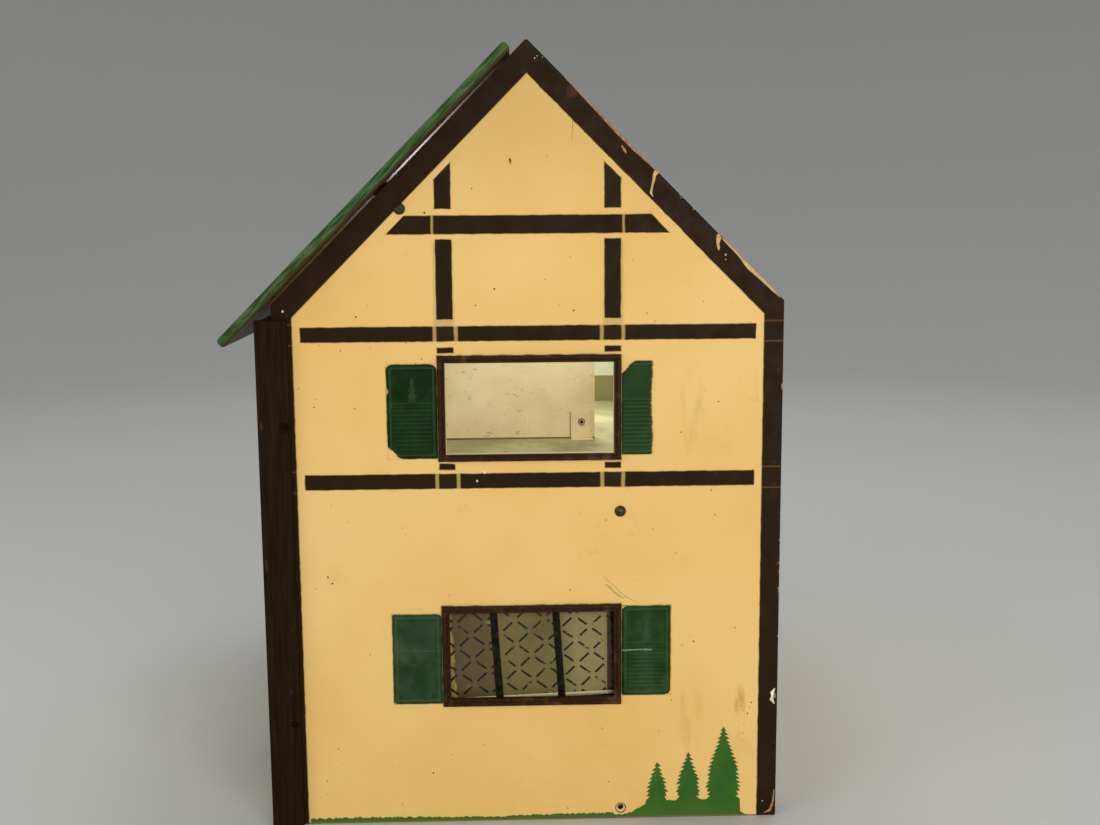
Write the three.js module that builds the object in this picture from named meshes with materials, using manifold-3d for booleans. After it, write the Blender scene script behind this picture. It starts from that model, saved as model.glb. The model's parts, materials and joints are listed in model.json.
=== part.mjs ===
// A painted wooden doll's house that opens in front: two hinged facade leaves, an entrance door
// and a hinged front roof. Millimetres, +Z up. The ridge runs along X and the facade faces -Y.
import * as THREE from "three";
import { mergeVertices } from "three/addons/utils/BufferGeometryUtils.js";
import Module from "manifold-3d";

const wasm = await Module();
wasm.setup();

// Driving dimensions. Y is counted from the middle of the gable's depth, front negative.
const HOUSE_WIDTH = 406; // over the outer faces of the gables
const GABLE_DEPTH = 305;
const EAVES_HEIGHT = 325;
const BOARD = 6; // plywood of the gables, floors, leaves and roof
const BACK_BOARD = 4;
const BASE_BOARD = 15;
const GAP = 0.3; // between pieces that touch
const RUN = 0.8; // round the edge of a moving leaf or door
const APEX_FLAT = 1.6; // blunt tip of the gable

const OUT = HOUSE_WIDTH / 2;
const IN = OUT - BOARD;
const FRONT = -GABLE_DEPTH / 2;
const BACK = GABLE_DEPTH / 2;
const APEX_HEIGHT = EAVES_HEIGHT + GABLE_DEPTH / 2;
const INSIDE_BACK = BACK - BACK_BOARD - GAP;

const UPPER_FLOOR_TOP = 209;
const BATTEN = 10;
const PARTITION_END = 51;
const UPPER_PARTITION_TOP = 316;

const WINDOW = { width: 110, height: 64, lip: 4.6, proud: 1.8, cutout: 2 };
const UPPER_SILL = 229.7;
const LOWER_SILL = 75.5;
const FACADE_UPPER_SILL = 212;
const SHUTTER = { width: 30, brokenWidth: 18.6, height: 57, thickness: 1, gap: 0.5 };
const SHUTTER_LIFT = { usual: 2, broken: 3, worn: 5.5 }; // foot of a shutter over the foot of its frame
const PANE = { width: 108, height: 63, thickness: 0.8, lean: 4 };

const STILE = { width: 18.8, thickness: 5, proud: 9.5, height: 316 };
const LEAF = { back: FRONT - 0.5, bottom: 3, top: 286.5 };
const LEAF_FRONT = LEAF.back - BOARD;
const FASCIA = { bottom: 288, top: 316 };
const HINGE = { radius: 1.4, pin: 0.55, bore: 0.85, plate: 0.75, standOff: 0.6, facets: 12 };

const ROOF = { top: 11.2, end: 251.5, lift: 1.3, overhang: 12.7, corner: 2.2 };
const ROOF_PIVOT = { s: 9.9, n: 1.4, radius: 1.1 };
const RIDGE = { slope: 12, bottom: 455 };
const PURLIN = { s: 121.8, width: 12, depth: 20, screw: 15.3, pilot: 17 };

const SCREW = {
  headRadius: 3.5,
  headHeight: 2.4,
  slotDepth: 1,
  slotWidth: 0.8,
  shankRadius: 1.5,
  reach: 14, // length of shank behind the head
  holeRadius: 1.8,
  sinkRadius: 3.3,
};
const BASE_HOLE = { y: 54.7, z: 6.8 };
const DOOR = {
  left: 74,
  right: 130,
  bottom: 15.5,
  top: 139,
  thickness: 4,
  setBack: 0.6,
  pivotInset: 1.4,
  hingeSideRun: 1,
};
const KNOB = { radius: 5, neck: 2.4, length: 10 };
const LEAF_KNOB = { x: 13, z: 168 };
const DOOR_KNOB = { size: 0.5, inset: 7, z: 74 };
const SQRT2 = Math.SQRT2;
const ROUND = 16; // facets round a screw or knob
const MERGE = 1e-4; // corners closer than this are one corner
const PAST = 1; // how far a bore or a cut runs past a face, and how far joined shapes share room

// Materials, one per piece.
const FINISHES = {
  cream: { color: 0xdcb875, roughness: 0.62 },
  brown: { color: 0x2b1c0a, roughness: 0.55 },
  green: { color: 0x3a5a34, roughness: 0.55 },
  card: { color: 0x1f3f1b, roughness: 0.6 },
  bareWood: { color: 0xb58a55, roughness: 0.8 },
  khaki: { color: 0x8f8352, roughness: 0.7 },
  blush: { color: 0xd6bf93, roughness: 0.7 },
  celluloid: { color: 0x8a7b45, roughness: 0.3 },
  steel: { color: 0x8b8a86, roughness: 0.45, metalness: 0.8 },
  brass: { color: 0xb08d45, roughness: 0.35, metalness: 0.9 },
};

const house = new THREE.Group();

function add(name, geometry, finish) {
  const mesh = new THREE.Mesh(geometry, new THREE.MeshStandardMaterial(FINISHES[finish]));
  mesh.name = name;
  house.add(mesh);
}

// Solids.
function toSolid(geometry) {
  const plain = geometry.clone();
  plain.deleteAttribute("normal");
  plain.deleteAttribute("uv");
  const merged = mergeVertices(plain, MERGE);
  return new wasm.Manifold(
    new wasm.Mesh({
      numProp: 3,
      vertProperties: new Float32Array(merged.attributes.position.array),
      triVerts: new Uint32Array(merged.index.array),
    }),
  );
}

function toGeometry(solid) {
  const mesh = solid.getMesh();
  const geometry = new THREE.BufferGeometry();
  geometry.setAttribute("position", new THREE.BufferAttribute(new Float32Array(mesh.vertProperties), 3));
  geometry.setIndex(new THREE.BufferAttribute(new Uint32Array(mesh.triVerts), 1));
  geometry.computeVertexNormals();
  return geometry;
}

function cut(body, ...tools) {
  let solid = toSolid(body);
  for (const tool of tools) solid = solid.subtract(toSolid(tool));
  return toGeometry(solid);
}

function join(body, ...others) {
  let solid = toSolid(body);
  for (const other of others) solid = solid.add(toSolid(other));
  return toGeometry(solid);
}

function box(x0, x1, y0, y1, z0, z1) {
  const geometry = new THREE.BoxGeometry(Math.abs(x1 - x0), y1 - y0, z1 - z0);
  return geometry.translate((x0 + x1) / 2, (y0 + y1) / 2, (z0 + z1) / 2);
}

function outline(points, holes = []) {
  const shape = new THREE.Shape(points.map(([a, b]) => new THREE.Vector2(a, b)));
  for (const hole of holes) shape.holes.push(new THREE.Path(hole.map(([a, b]) => new THREE.Vector2(a, b))));
  return shape;
}

// A (y, z) outline extruded along X from x0 to x1.
function extrudeX(shape, x0, x1) {
  const start = Math.min(x0, x1);
  const geometry = new THREE.ExtrudeGeometry(shape, { depth: Math.abs(x1 - x0), bevelEnabled: false });
  const turn = new THREE.Matrix4().makeBasis(
    new THREE.Vector3(0, 1, 0),
    new THREE.Vector3(0, 0, 1),
    new THREE.Vector3(1, 0, 0),
  );
  return geometry.applyMatrix4(turn).translate(start, 0, 0);
}

function rectangle(a0, a1, b0, b1) {
  return [
    [a0, b0],
    [a1, b0],
    [a1, b1],
    [a0, b1],
  ];
}

function rodX(radius, x0, x1, y, z, facets = ROUND) {
  const geometry = new THREE.CylinderGeometry(radius, radius, Math.abs(x1 - x0), facets);
  return geometry.rotateZ(Math.PI / 2).translate((x0 + x1) / 2, y, z);
}

function rodZ(radius, z0, z1, x, y, facets = ROUND) {
  const geometry = new THREE.CylinderGeometry(radius, radius, z1 - z0, facets);
  return geometry.rotateX(Math.PI / 2).translate(x, y, (z0 + z1) / 2);
}

// A countersink in the outer face of a board, with its mouth at x and the hole going inwards.
function countersunkHole(side, mouth, depth, y, z) {
  const sink = SCREW.sinkRadius;
  const hole = SCREW.holeRadius;
  const profile = [
    [0, PAST],
    [sink, PAST],
    [sink, 0],
    [hole, hole - sink],
    [hole, -depth],
    [0, -depth],
  ];
  const turned = new THREE.LatheGeometry(
    profile.map(([r, h]) => new THREE.Vector2(r, -h)),
    ROUND,
  );
  return turned.rotateZ((side * Math.PI) / 2).translate(side * mouth, y, z);
}

// Points of the front slope: s runs down from the ridge, n stands out of the slope.
function frontSlope(s, n) {
  return [-(s + n) / SQRT2, APEX_HEIGHT - (s - n) / SQRT2];
}

function backSlope(s, n) {
  return [(s + n) / SQRT2, APEX_HEIGHT - (s - n) / SQRT2];
}

// Base, floors and partitions.
add("base_board", box(-IN + GAP, IN - GAP, FRONT, INSIDE_BACK, 0, BASE_BOARD), "bareWood");

const floorBottom = UPPER_FLOOR_TOP - BOARD;
add("upper_floor", box(-IN + GAP, IN - GAP, FRONT, INSIDE_BACK, floorBottom, UPPER_FLOOR_TOP), "khaki");

const FLOOR_SCREW = { y: 54.5, z: floorBottom - GAP - BATTEN / 2 };
const [purlinScrewY, purlinScrewZ] = frontSlope(PURLIN.s, -PURLIN.screw);
const sides = [
  ["right", 1],
  ["left", -1],
];

for (const [label, side] of sides) {
  const batten = box(
    side * (IN - GAP),
    side * (IN - GAP - BATTEN),
    FRONT,
    INSIDE_BACK,
    floorBottom - GAP - BATTEN,
    floorBottom - GAP,
  );
  const pilot = rodX(SCREW.holeRadius, side * IN, side * (IN - BATTEN - PAST), FLOOR_SCREW.y, FLOOR_SCREW.z);
  add("floor_batten_" + label, cut(batten, pilot), "bareWood");
}

add(
  "lower_partition",
  box(-BOARD / 2, BOARD / 2, FRONT, PARTITION_END, BASE_BOARD + GAP, floorBottom - GAP),
  "blush",
);
add(
  "upper_partition",
  box(-BOARD / 2, BOARD / 2, FRONT, PARTITION_END, UPPER_FLOOR_TOP + GAP, UPPER_PARTITION_TOP),
  "blush",
);

// A small steel angle that holds the upper partition to the floor.
const BRACKET = { width: 16, height: 19, foot: 12, inset: 2, thickness: 1, screwUp: 12.5, holeRadius: 1.2 };
const BRACKET_SCREW = { headRadius: 2, headTop: 1.6, shankRadius: 0.8, facets: 12 };
const bracketFace = BOARD / 2 + GAP;
const bracketEnd = PARTITION_END - BRACKET.inset;
const bracketBase = UPPER_FLOOR_TOP + GAP;
const bracketMiddle = bracketEnd - BRACKET.width / 2;
add(
  "partition_bracket",
  cut(
    join(
      box(
        bracketFace,
        bracketFace + BRACKET.thickness,
        bracketEnd - BRACKET.width,
        bracketEnd,
        bracketBase,
        bracketBase + BRACKET.height,
      ),
      box(
        bracketFace,
        bracketFace + BRACKET.foot,
        bracketEnd - BRACKET.width,
        bracketEnd,
        bracketBase,
        bracketBase + BRACKET.thickness,
      ),
    ),
    rodX(BRACKET.holeRadius, 0, BRACKET.foot, bracketMiddle, bracketBase + BRACKET.screwUp),
  ),
  "steel",
);
const bracketFront = bracketFace + BRACKET.thickness;

function bracketRod(radius, x0, x1) {
  return rodX(radius, x0, x1, bracketMiddle, bracketBase + BRACKET.screwUp, BRACKET_SCREW.facets);
}

add(
  "bracket_screw",
  join(
    bracketRod(BRACKET_SCREW.headRadius, bracketFront + GAP, bracketFront + BRACKET_SCREW.headTop),
    bracketRod(BRACKET_SCREW.shankRadius, bracketFace, bracketFront + PAST),
  ),
  "steel",
);

// Gables, each with two windows, two screw holes and an empty hole into the base board.
const gableOutline = [
  [FRONT, 0],
  [BACK, 0],
  [BACK, EAVES_HEIGHT],
  [APEX_FLAT / 2, APEX_HEIGHT - APEX_FLAT / 2],
  [-APEX_FLAT / 2, APEX_HEIGHT - APEX_FLAT / 2],
  [FRONT, EAVES_HEIGHT],
];

// The space that one window leaves in a wall, as low and high corners across and up.
function windowSpan(centre, sill) {
  const half = WINDOW.width / 2 - WINDOW.cutout;
  return [centre - half, centre + half, sill + WINDOW.cutout, sill + WINDOW.height - WINDOW.cutout];
}

function gableWindow(side, sill) {
  const [y0, y1, z0, z1] = windowSpan(0, sill);
  return box(side * (IN - PAST), side * (OUT + PAST), y0, y1, z0, z1);
}

for (const [label, side] of sides) {
  add(
    "gable_" + label,
    cut(
      extrudeX(outline(gableOutline), side * IN, side * OUT),
      gableWindow(side, UPPER_SILL),
      gableWindow(side, LOWER_SILL),
      rodX(SCREW.holeRadius, side * (IN - PAST), side * (OUT + PAST), FLOOR_SCREW.y, FLOOR_SCREW.z),
      rodX(SCREW.holeRadius, side * (IN - PAST), side * (OUT + PAST), purlinScrewY, purlinScrewZ),
      countersunkHole(side, OUT, BOARD + PAST, BASE_HOLE.y, BASE_HOLE.z),
    ),
    "cream",
  );
}

// Slotted round-head screw, its head outside the gable.
function gableScrew(side, y, z) {
  const radius = SCREW.headRadius;
  const height = SCREW.headHeight;
  const shank = SCREW.shankRadius;
  const profile = [[0, height]];
  for (const step of [1, 2, 3]) {
    const angle = (step * Math.PI) / 6;
    profile.push([radius * Math.sin(angle), height * Math.cos(angle)]);
  }
  profile.push([shank, 0], [shank, -SCREW.reach], [0, -SCREW.reach - shank]);
  const turned = new THREE.LatheGeometry(
    profile.map(([r, h]) => new THREE.Vector2(r, -h)),
    ROUND,
  );
  const halfSlot = SCREW.slotWidth / 2;
  const slot = box(-radius, radius, -height, SCREW.slotDepth - height, -halfSlot, halfSlot);
  return toGeometry(toSolid(turned).subtract(toSolid(slot)))
    .rotateZ((side * Math.PI) / 2)
    .translate(side * (OUT + GAP), y, z);
}

for (const [label, side] of sides) {
  add("floor_screw_" + label, gableScrew(side, FLOOR_SCREW.y, FLOOR_SCREW.z), "steel");
  add("purlin_screw_" + label, gableScrew(side, purlinScrewY, purlinScrewZ), "steel");
}

// Roof frame and the fixed back of the roof.
const ridgeOutline = [
  [-APEX_FLAT / 2, APEX_HEIGHT - APEX_FLAT / 2],
  frontSlope(RIDGE.slope, 0),
  [frontSlope(RIDGE.slope, 0)[0], RIDGE.bottom],
  [backSlope(RIDGE.slope, 0)[0], RIDGE.bottom],
  backSlope(RIDGE.slope, 0),
  [APEX_FLAT / 2, APEX_HEIGHT - APEX_FLAT / 2],
];
add("ridge_bar", extrudeX(outline(ridgeOutline), -IN + GAP, IN - GAP), "bareWood");

const purlinOutline = [
  frontSlope(PURLIN.s - PURLIN.width / 2, -GAP),
  frontSlope(PURLIN.s - PURLIN.width / 2, -GAP - PURLIN.depth),
  frontSlope(PURLIN.s + PURLIN.width / 2, -GAP - PURLIN.depth),
  frontSlope(PURLIN.s + PURLIN.width / 2, -GAP),
].reverse();
add(
  "front_purlin",
  cut(
    extrudeX(outline(purlinOutline), -IN + GAP, IN - GAP),
    ...sides.map(([, side]) =>
      rodX(SCREW.holeRadius, side * IN, side * (OUT - PURLIN.pilot), purlinScrewY, purlinScrewZ),
    ),
  ),
  "bareWood",
);

const backPanelEnd = BACK * SQRT2 - GAP;
const backPanelOutline = [
  backSlope(RIDGE.slope + GAP, 0),
  backSlope(RIDGE.slope + BOARD + GAP, -BOARD),
  backSlope(backPanelEnd + BOARD, -BOARD),
  backSlope(backPanelEnd, 0),
];
add("roof_back_panel", extrudeX(outline(backPanelOutline), -IN + GAP, IN - GAP), "green");

const backWallTop = APEX_HEIGHT - BACK - BOARD * SQRT2 - GAP;
add("back_wall", box(-IN + GAP, IN - GAP, BACK - BACK_BOARD, BACK, 0, backWallTop), "cream");

// Corner stiles on the gables' outer faces, standing proud of the front edge.
const stileFront = FRONT - STILE.proud;
const STILE_HOLES = [
  [-146.3, 252],
  [-146.3, 66.6],
];
for (const [label, side] of sides) {
  const strip = box(
    side * (OUT + GAP),
    side * (OUT + GAP + STILE.thickness),
    stileFront,
    stileFront + STILE.width,
    0,
    STILE.height,
  );
  const holes = STILE_HOLES.map(([y, z]) =>
    countersunkHole(side, OUT + GAP + STILE.thickness, STILE.thickness + PAST, y, z),
  );
  add("corner_stile_" + label, cut(strip, ...holes), "brown");
}

// The eaves board between the stiles, with the turn button that keeps the leaves shut.
const BUTTON = { length: 28, width: 8, thickness: 1.6, z: 293.5, bore: 1.5, gap: 0.6 };
const BUTTON_SCREW = {
  headRadius: 2.8,
  headTop: 1.5,
  shankRadius: 1,
  shankEnd: 2.5, // from the back of the board
  pilotRadius: 1.3,
  pilotEnd: 1.5,
};
const buttonBack = LEAF_FRONT - BUTTON.gap;
const buttonFace = buttonBack - BUTTON.thickness;

function rodY(radius, y0, y1, x, z, facets = ROUND) {
  return new THREE.CylinderGeometry(radius, radius, y1 - y0, facets).translate(x, (y0 + y1) / 2, z);
}

add(
  "eaves_fascia",
  cut(
    box(-OUT + GAP, OUT - GAP, LEAF_FRONT, LEAF.back, FASCIA.bottom, FASCIA.top),
    rodY(BUTTON_SCREW.pilotRadius, LEAF_FRONT - PAST, LEAF.back - BUTTON_SCREW.pilotEnd, 0, BUTTON.z),
  ),
  "brown",
);
const buttonShape = new THREE.Shape();
const buttonRadius = BUTTON.width / 2;
const buttonReach = BUTTON.length / 2 - buttonRadius;
buttonShape.absarc(buttonReach, BUTTON.z, buttonRadius, -Math.PI / 2, Math.PI / 2, false);
buttonShape.absarc(-buttonReach, BUTTON.z, buttonRadius, Math.PI / 2, (3 * Math.PI) / 2, false);
const buttonPlate = new THREE.ExtrudeGeometry(buttonShape, {
  depth: BUTTON.thickness,
  bevelEnabled: false,
  curveSegments: 8,
})
  .rotateX(Math.PI / 2)
  .translate(0, buttonBack, 0);
add(
  "turn_button",
  cut(buttonPlate, rodY(BUTTON.bore, buttonFace - PAST, LEAF_FRONT, 0, BUTTON.z)),
  "brass",
);
add(
  "turn_button_screw",
  join(
    rodY(BUTTON_SCREW.headRadius, buttonFace - BUTTON_SCREW.headTop, buttonFace - GAP, 0, BUTTON.z),
    rodY(BUTTON_SCREW.shankRadius, buttonFace - PAST, LEAF.back - BUTTON_SCREW.shankEnd, 0, BUTTON.z),
  ),
  "steel",
);

// Facade leaves. Each turns on a strip hinge between its outer edge and the stile.
const hingeX = OUT - GAP / 2 - HINGE.radius;
const hingeY = LEAF_FRONT - HINGE.radius - HINGE.standOff;
const leafEdge = hingeX - HINGE.radius - GAP;
const leafMiddle = (leafEdge + RUN / 2) / 2;

function leafBoard(side) {
  const [x0, x1] = side > 0 ? [RUN / 2, leafEdge] : [-leafEdge, -RUN / 2];
  return box(x0, x1, LEAF_FRONT, LEAF.back, LEAF.bottom, LEAF.top);
}

function leafWindow(centre, sill) {
  const [x0, x1, z0, z1] = windowSpan(centre, sill);
  return box(x0, x1, LEAF_FRONT - PAST, LEAF.back + PAST, z0, z1);
}

const doorway = box(
  DOOR.left - RUN,
  DOOR.right + DOOR.hingeSideRun,
  LEAF_FRONT - PAST,
  LEAF.back + PAST,
  DOOR.bottom - RUN,
  DOOR.top + RUN,
);
const pivotX = DOOR.right - DOOR.pivotInset;
const doorFront = LEAF_FRONT + DOOR.setBack;
const pivotY = doorFront + DOOR.pivotInset;
const PIVOT = { radius: 0.8, bore: 1.15, length: 4, facets: 12 };
const pivotBores = rodZ(
  PIVOT.bore,
  DOOR.bottom - RUN - PIVOT.length,
  DOOR.top + RUN + PIVOT.length,
  pivotX,
  pivotY,
  PIVOT.facets,
);
add(
  "facade_leaf_right",
  cut(leafBoard(1), leafWindow(leafMiddle, FACADE_UPPER_SILL), doorway, pivotBores),
  "cream",
);
add(
  "facade_leaf_left",
  cut(leafBoard(-1), leafWindow(-leafMiddle, FACADE_UPPER_SILL), leafWindow(-leafMiddle, LOWER_SILL)),
  "cream",
);

// The entrance door turns on two nails, one at the top and one at the bottom.
const doorBoard = box(DOOR.left, DOOR.right, doorFront, doorFront + DOOR.thickness, DOOR.bottom, DOOR.top);
const doorNails = rodZ(
  PIVOT.radius,
  DOOR.bottom - PIVOT.length,
  DOOR.top + PIVOT.length,
  pivotX,
  pivotY,
  PIVOT.facets,
);
add("entrance_door", join(doorBoard, doorNails), "green");

function knob(radius, neck, length) {
  const profile = [
    [0, 0],
    [neck, 0],
    [neck, length * 0.3],
    [radius, length * 0.55],
    [radius, length * 0.75],
    [radius * 0.6, length * 0.96],
    [0, length],
  ];
  return new THREE.LatheGeometry(
    profile.map(([r, h]) => new THREE.Vector2(r, h)),
    ROUND,
  ).rotateX(Math.PI);
}

function knobAt(size, x, y, z) {
  const turned = knob(KNOB.radius * size, KNOB.neck * size, KNOB.length * size);
  return turned.translate(x, y - GAP, z);
}

add("leaf_knob_right", knobAt(1, LEAF_KNOB.x, LEAF_FRONT, LEAF_KNOB.z), "brass");
add("leaf_knob_left", knobAt(1, -LEAF_KNOB.x, LEAF_FRONT, LEAF_KNOB.z), "brass");
const doorKnobX = DOOR.left + DOOR_KNOB.inset;
add("entrance_door_knob", knobAt(DOOR_KNOB.size, doorKnobX, doorFront, DOOR_KNOB.z), "brass");

// Strip hinge: plates with alternate knuckles round one pin.
const KNUCKLE = 19; // length of one knuckle
const KNUCKLES = 11;

function stripHinge(length, knuckles, radius, plateDepth) {
  const step = length / knuckles;
  const plate = HINGE.plate;
  const fixed = [rodZ(HINGE.pin, -length / 2, length / 2, 0, 0, HINGE.facets)];
  const moving = [];
  for (let i = 0; i < knuckles; i++) {
    const z0 = -length / 2 + i * step + GAP / 2;
    const z1 = z0 + step - GAP;
    const tube = rodZ(radius, z0, z1, 0, 0, HINGE.facets);
    const isFixed = i % 2 === 0;
    const x0 = isFixed ? radius - plate : -radius;
    const wing = box(x0, x0 + plate, 0, 2 * radius, z0, z1);
    if (isFixed) fixed.push(tube, wing);
    else moving.push(cut(join(tube, wing), rodZ(HINGE.bore, z0 - PAST, z1 + PAST, 0, 0, HINGE.facets)));
  }
  const low = -length / 2 + GAP / 2;
  const wingStart = radius + GAP;
  fixed.push(box(radius - plate, radius, wingStart, plateDepth, low, -low));
  moving.push(box(-radius, -radius + plate, wingStart, plateDepth, low, -low));
  return { fixed: join(...fixed), moving: join(...moving) };
}

const LEAF_HINGE_Z = (LEAF.bottom + LEAF.top) / 2;
const leafPlateDepth = LEAF.back - GAP - hingeY;
for (const [label, side] of sides) {
  const hinge = stripHinge(KNUCKLE * KNUCKLES, KNUCKLES, HINGE.radius, leafPlateDepth);
  for (const part of ["fixed", "moving"]) {
    const geometry = hinge[part];
    if (side < 0) geometry.rotateY(Math.PI);
    geometry.translate(side * hingeX, hingeY, LEAF_HINGE_Z);
    add("leaf_hinge_" + label + "_" + part, geometry, "steel");
  }
}

// Front roof board, hinged along the ridge and resting on the gables.
function roundedBar(s0, s1, n0, n1, r) {
  const shape = new THREE.Shape();
  shape.absarc(s1 - r, n0 + r, r, -Math.PI / 2, 0, false);
  shape.absarc(s1 - r, n1 - r, r, 0, Math.PI / 2, false);
  shape.absarc(s0 + r, n1 - r, r, Math.PI / 2, Math.PI, false);
  shape.absarc(s0 + r, n0 + r, r, Math.PI, (3 * Math.PI) / 2, false);
  return shape.extractPoints(5).shape;
}

const roofPoints = roundedBar(ROOF.top, ROOF.end, ROOF.lift, ROOF.lift + BOARD, ROOF.corner);
const roofOutline = roofPoints.map(({ x, y }) => frontSlope(x, y)).reverse();
add("front_roof", extrudeX(outline(roofOutline), -OUT - ROOF.overhang, OUT + ROOF.overhang), "green");

// Its strip hinge lies flat: one plate on the ridge bar, the other under the board.
const ROOF_HINGE = { length: 300, knuckles: 13, pin: 0.44, bore: 0.68 };
const ROOF_PLATE = { fixedEnd: 1.8, movingEnd: 23, low: 0.3, high: 0.95 };

function roofHingePart(isFixed) {
  const step = ROOF_HINGE.length / ROOF_HINGE.knuckles;
  const { s, n, radius } = ROOF_PIVOT;
  const [pinY, pinZ] = frontSlope(s, n);
  const half = ROOF_HINGE.length / 2;
  const edge = isFixed ? s - radius - GAP : s + radius + GAP;
  const end = isFixed ? ROOF_PLATE.fixedEnd : ROOF_PLATE.movingEnd;

  function slab(s0, s1, x0, x1) {
    const corners = [
      frontSlope(s0, ROOF_PLATE.low),
      frontSlope(s0, ROOF_PLATE.high),
      frontSlope(s1, ROOF_PLATE.high),
      frontSlope(s1, ROOF_PLATE.low),
    ];
    return extrudeX(outline(s0 < s1 ? corners : corners.reverse()), x0, x1);
  }

  const pieces = [slab(edge, end, -half + GAP / 2, half - GAP / 2)];
  if (isFixed) pieces.push(rodX(ROOF_HINGE.pin, -half, half, pinY, pinZ, HINGE.facets));
  for (let i = 0; i < ROOF_HINGE.knuckles; i++) {
    if ((i % 2 === 0) !== isFixed) continue;
    const x0 = -half + i * step + GAP / 2;
    const x1 = x0 + step - GAP;
    const wing = slab(edge + (isFixed ? -PAST : PAST), s, x0, x1);
    const knuckle = join(rodX(radius, x0, x1, pinY, pinZ, HINGE.facets), wing);
    const bore = rodX(ROOF_HINGE.bore, x0 - PAST, x1 + PAST, pinY, pinZ, HINGE.facets);
    pieces.push(isFixed ? knuckle : cut(knuckle, bore));
  }
  return join(...pieces);
}

add("roof_hinge_fixed", roofHingePart(true), "steel");
add("roof_hinge_moving", roofHingePart(false), "steel");

// Window frames, shutters and lattice panes. A wall places them by its own (across, up, out) axes:
// "across" grows to the right for someone who looks at the wall from outside.
function onGable(side) {
  const across = new THREE.Vector3(0, side, 0);
  const out = new THREE.Vector3(side, 0, 0);
  return new THREE.Matrix4()
    .makeBasis(across, new THREE.Vector3(0, 0, 1), out)
    .setPosition(side * OUT, 0, 0);
}

function onFacade(centre) {
  const across = new THREE.Vector3(1, 0, 0);
  const out = new THREE.Vector3(0, -1, 0);
  return new THREE.Matrix4()
    .makeBasis(across, new THREE.Vector3(0, 0, 1), out)
    .setPosition(centre, LEAF_FRONT, 0);
}

function plate(shape, thickness) {
  return new THREE.ExtrudeGeometry(shape, { depth: thickness, bevelEnabled: false, curveSegments: 4 });
}

function windowFrame(sill) {
  const half = WINDOW.width / 2;
  const { lip, height, proud } = WINDOW;
  const inner = rectangle(-half + lip, half - lip, sill + lip, sill + height - lip).reverse();
  return plate(outline(rectangle(-half, half, sill, sill + height), [inner]), proud);
}

// A shutter's outline. Its corners run round from the bottom left, each "square", "round",
// "clipped" or "torn", and a broken one has lost its outer stile along a ragged edge.
const CORNER_REACH = { square: 0.6, round: 4, clipped: 3, torn: 7.6 };
const SHUTTER_LOOKS = {
  whole: { corners: ["square", "square", "square", "square"], width: SHUTTER.width, ragged: 0 },
  tornLow: { corners: ["torn", "square", "square", "round"], width: SHUTTER.width, ragged: 0 },
  broken: { corners: ["square", "square", "square", "torn"], width: SHUTTER.brokenWidth, ragged: 1 },
  clipped: { corners: ["clipped", "square", "square", "square"], width: SHUTTER.width, ragged: 0 },
  worn: { corners: ["square", "clipped", "square", "round"], width: SHUTTER.width, ragged: 0 },
};

function shutterShape(left, bottom, look) {
  const right = left + look.width;
  const top = bottom + SHUTTER.height;
  const corners = [
    [left, bottom, 1, 0],
    [right, bottom, 0, 1],
    [right, top, -1, 0],
    [left, top, 0, -1],
  ];
  const shape = new THREE.Shape();
  corners.forEach(([x, z, nextX, nextZ], i) => {
    const r = CORNER_REACH[look.corners[i]];
    const [, , lastX, lastZ] = corners[(i + 3) % 4];
    const from = [x - lastX * r, z - lastZ * r];
    const to = [x + nextX * r, z + nextZ * r];
    if (i === 0) shape.moveTo(...from);
    else shape.lineTo(...from);
    if (look.corners[i] === "round") shape.quadraticCurveTo(x, z, ...to);
    else shape.lineTo(...to);
    if (i !== 1) return;
    for (const share of [0.3, 0.5, 0.72]) {
      shape.lineTo(right + look.ragged * Math.sin(9 * share), bottom + share * SHUTTER.height);
    }
  });
  shape.closePath();
  return shape;
}

function dressWindow(prefix, wall, sill, looks, glazed) {
  const place = (geometry, outward) => geometry.translate(0, 0, outward).applyMatrix4(wall);
  add(prefix + "_frame", place(windowFrame(sill), GAP), "brown");
  const near = WINDOW.width / 2 + SHUTTER.gap;
  const starts = { left: -near - SHUTTER.width, right: near };
  for (const label of ["left", "right"]) {
    const [look, lift] = looks[label];
    const shape = shutterShape(starts[label], sill + lift, SHUTTER_LOOKS[look]);
    add(prefix + "_shutter_" + label, place(plate(shape, SHUTTER.thickness), GAP), "card");
  }
  if (glazed) {
    const pane = new THREE.BoxGeometry(PANE.width, PANE.height, PANE.thickness);
    pane.rotateZ(THREE.MathUtils.degToRad(PANE.lean));
    pane.translate(0, sill + WINDOW.height / 2, -BOARD - GAP - PANE.thickness / 2);
    add(prefix + "_lattice", pane.applyMatrix4(wall), "celluloid");
  }
}

const wholePair = { left: ["whole", SHUTTER_LIFT.usual], right: ["whole", SHUTTER_LIFT.usual] };
const wornUpper = { left: ["tornLow", SHUTTER_LIFT.usual], right: ["broken", SHUTTER_LIFT.broken] };
const wornLower = { left: ["clipped", SHUTTER_LIFT.usual], right: ["worn", SHUTTER_LIFT.worn] };
dressWindow("gable_right_upper", onGable(1), UPPER_SILL, wornUpper, false);
dressWindow("gable_right_lower", onGable(1), LOWER_SILL, wornLower, true);
dressWindow("gable_left_upper", onGable(-1), UPPER_SILL, wholePair, false);
dressWindow("gable_left_lower", onGable(-1), LOWER_SILL, wholePair, true);
dressWindow("facade_right_upper", onFacade(leafMiddle), FACADE_UPPER_SILL, wholePair, false);
dressWindow("facade_left_upper", onFacade(-leafMiddle), FACADE_UPPER_SILL, wholePair, false);
dressWindow("facade_left_lower", onFacade(-leafMiddle), LOWER_SILL, wholePair, true);

// The row's origin is under the middle of the whole outline, roof included.
const bounds = new THREE.Box3().setFromObject(house);
house.position.y = -(bounds.min.y + bounds.max.y) / 2;

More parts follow.
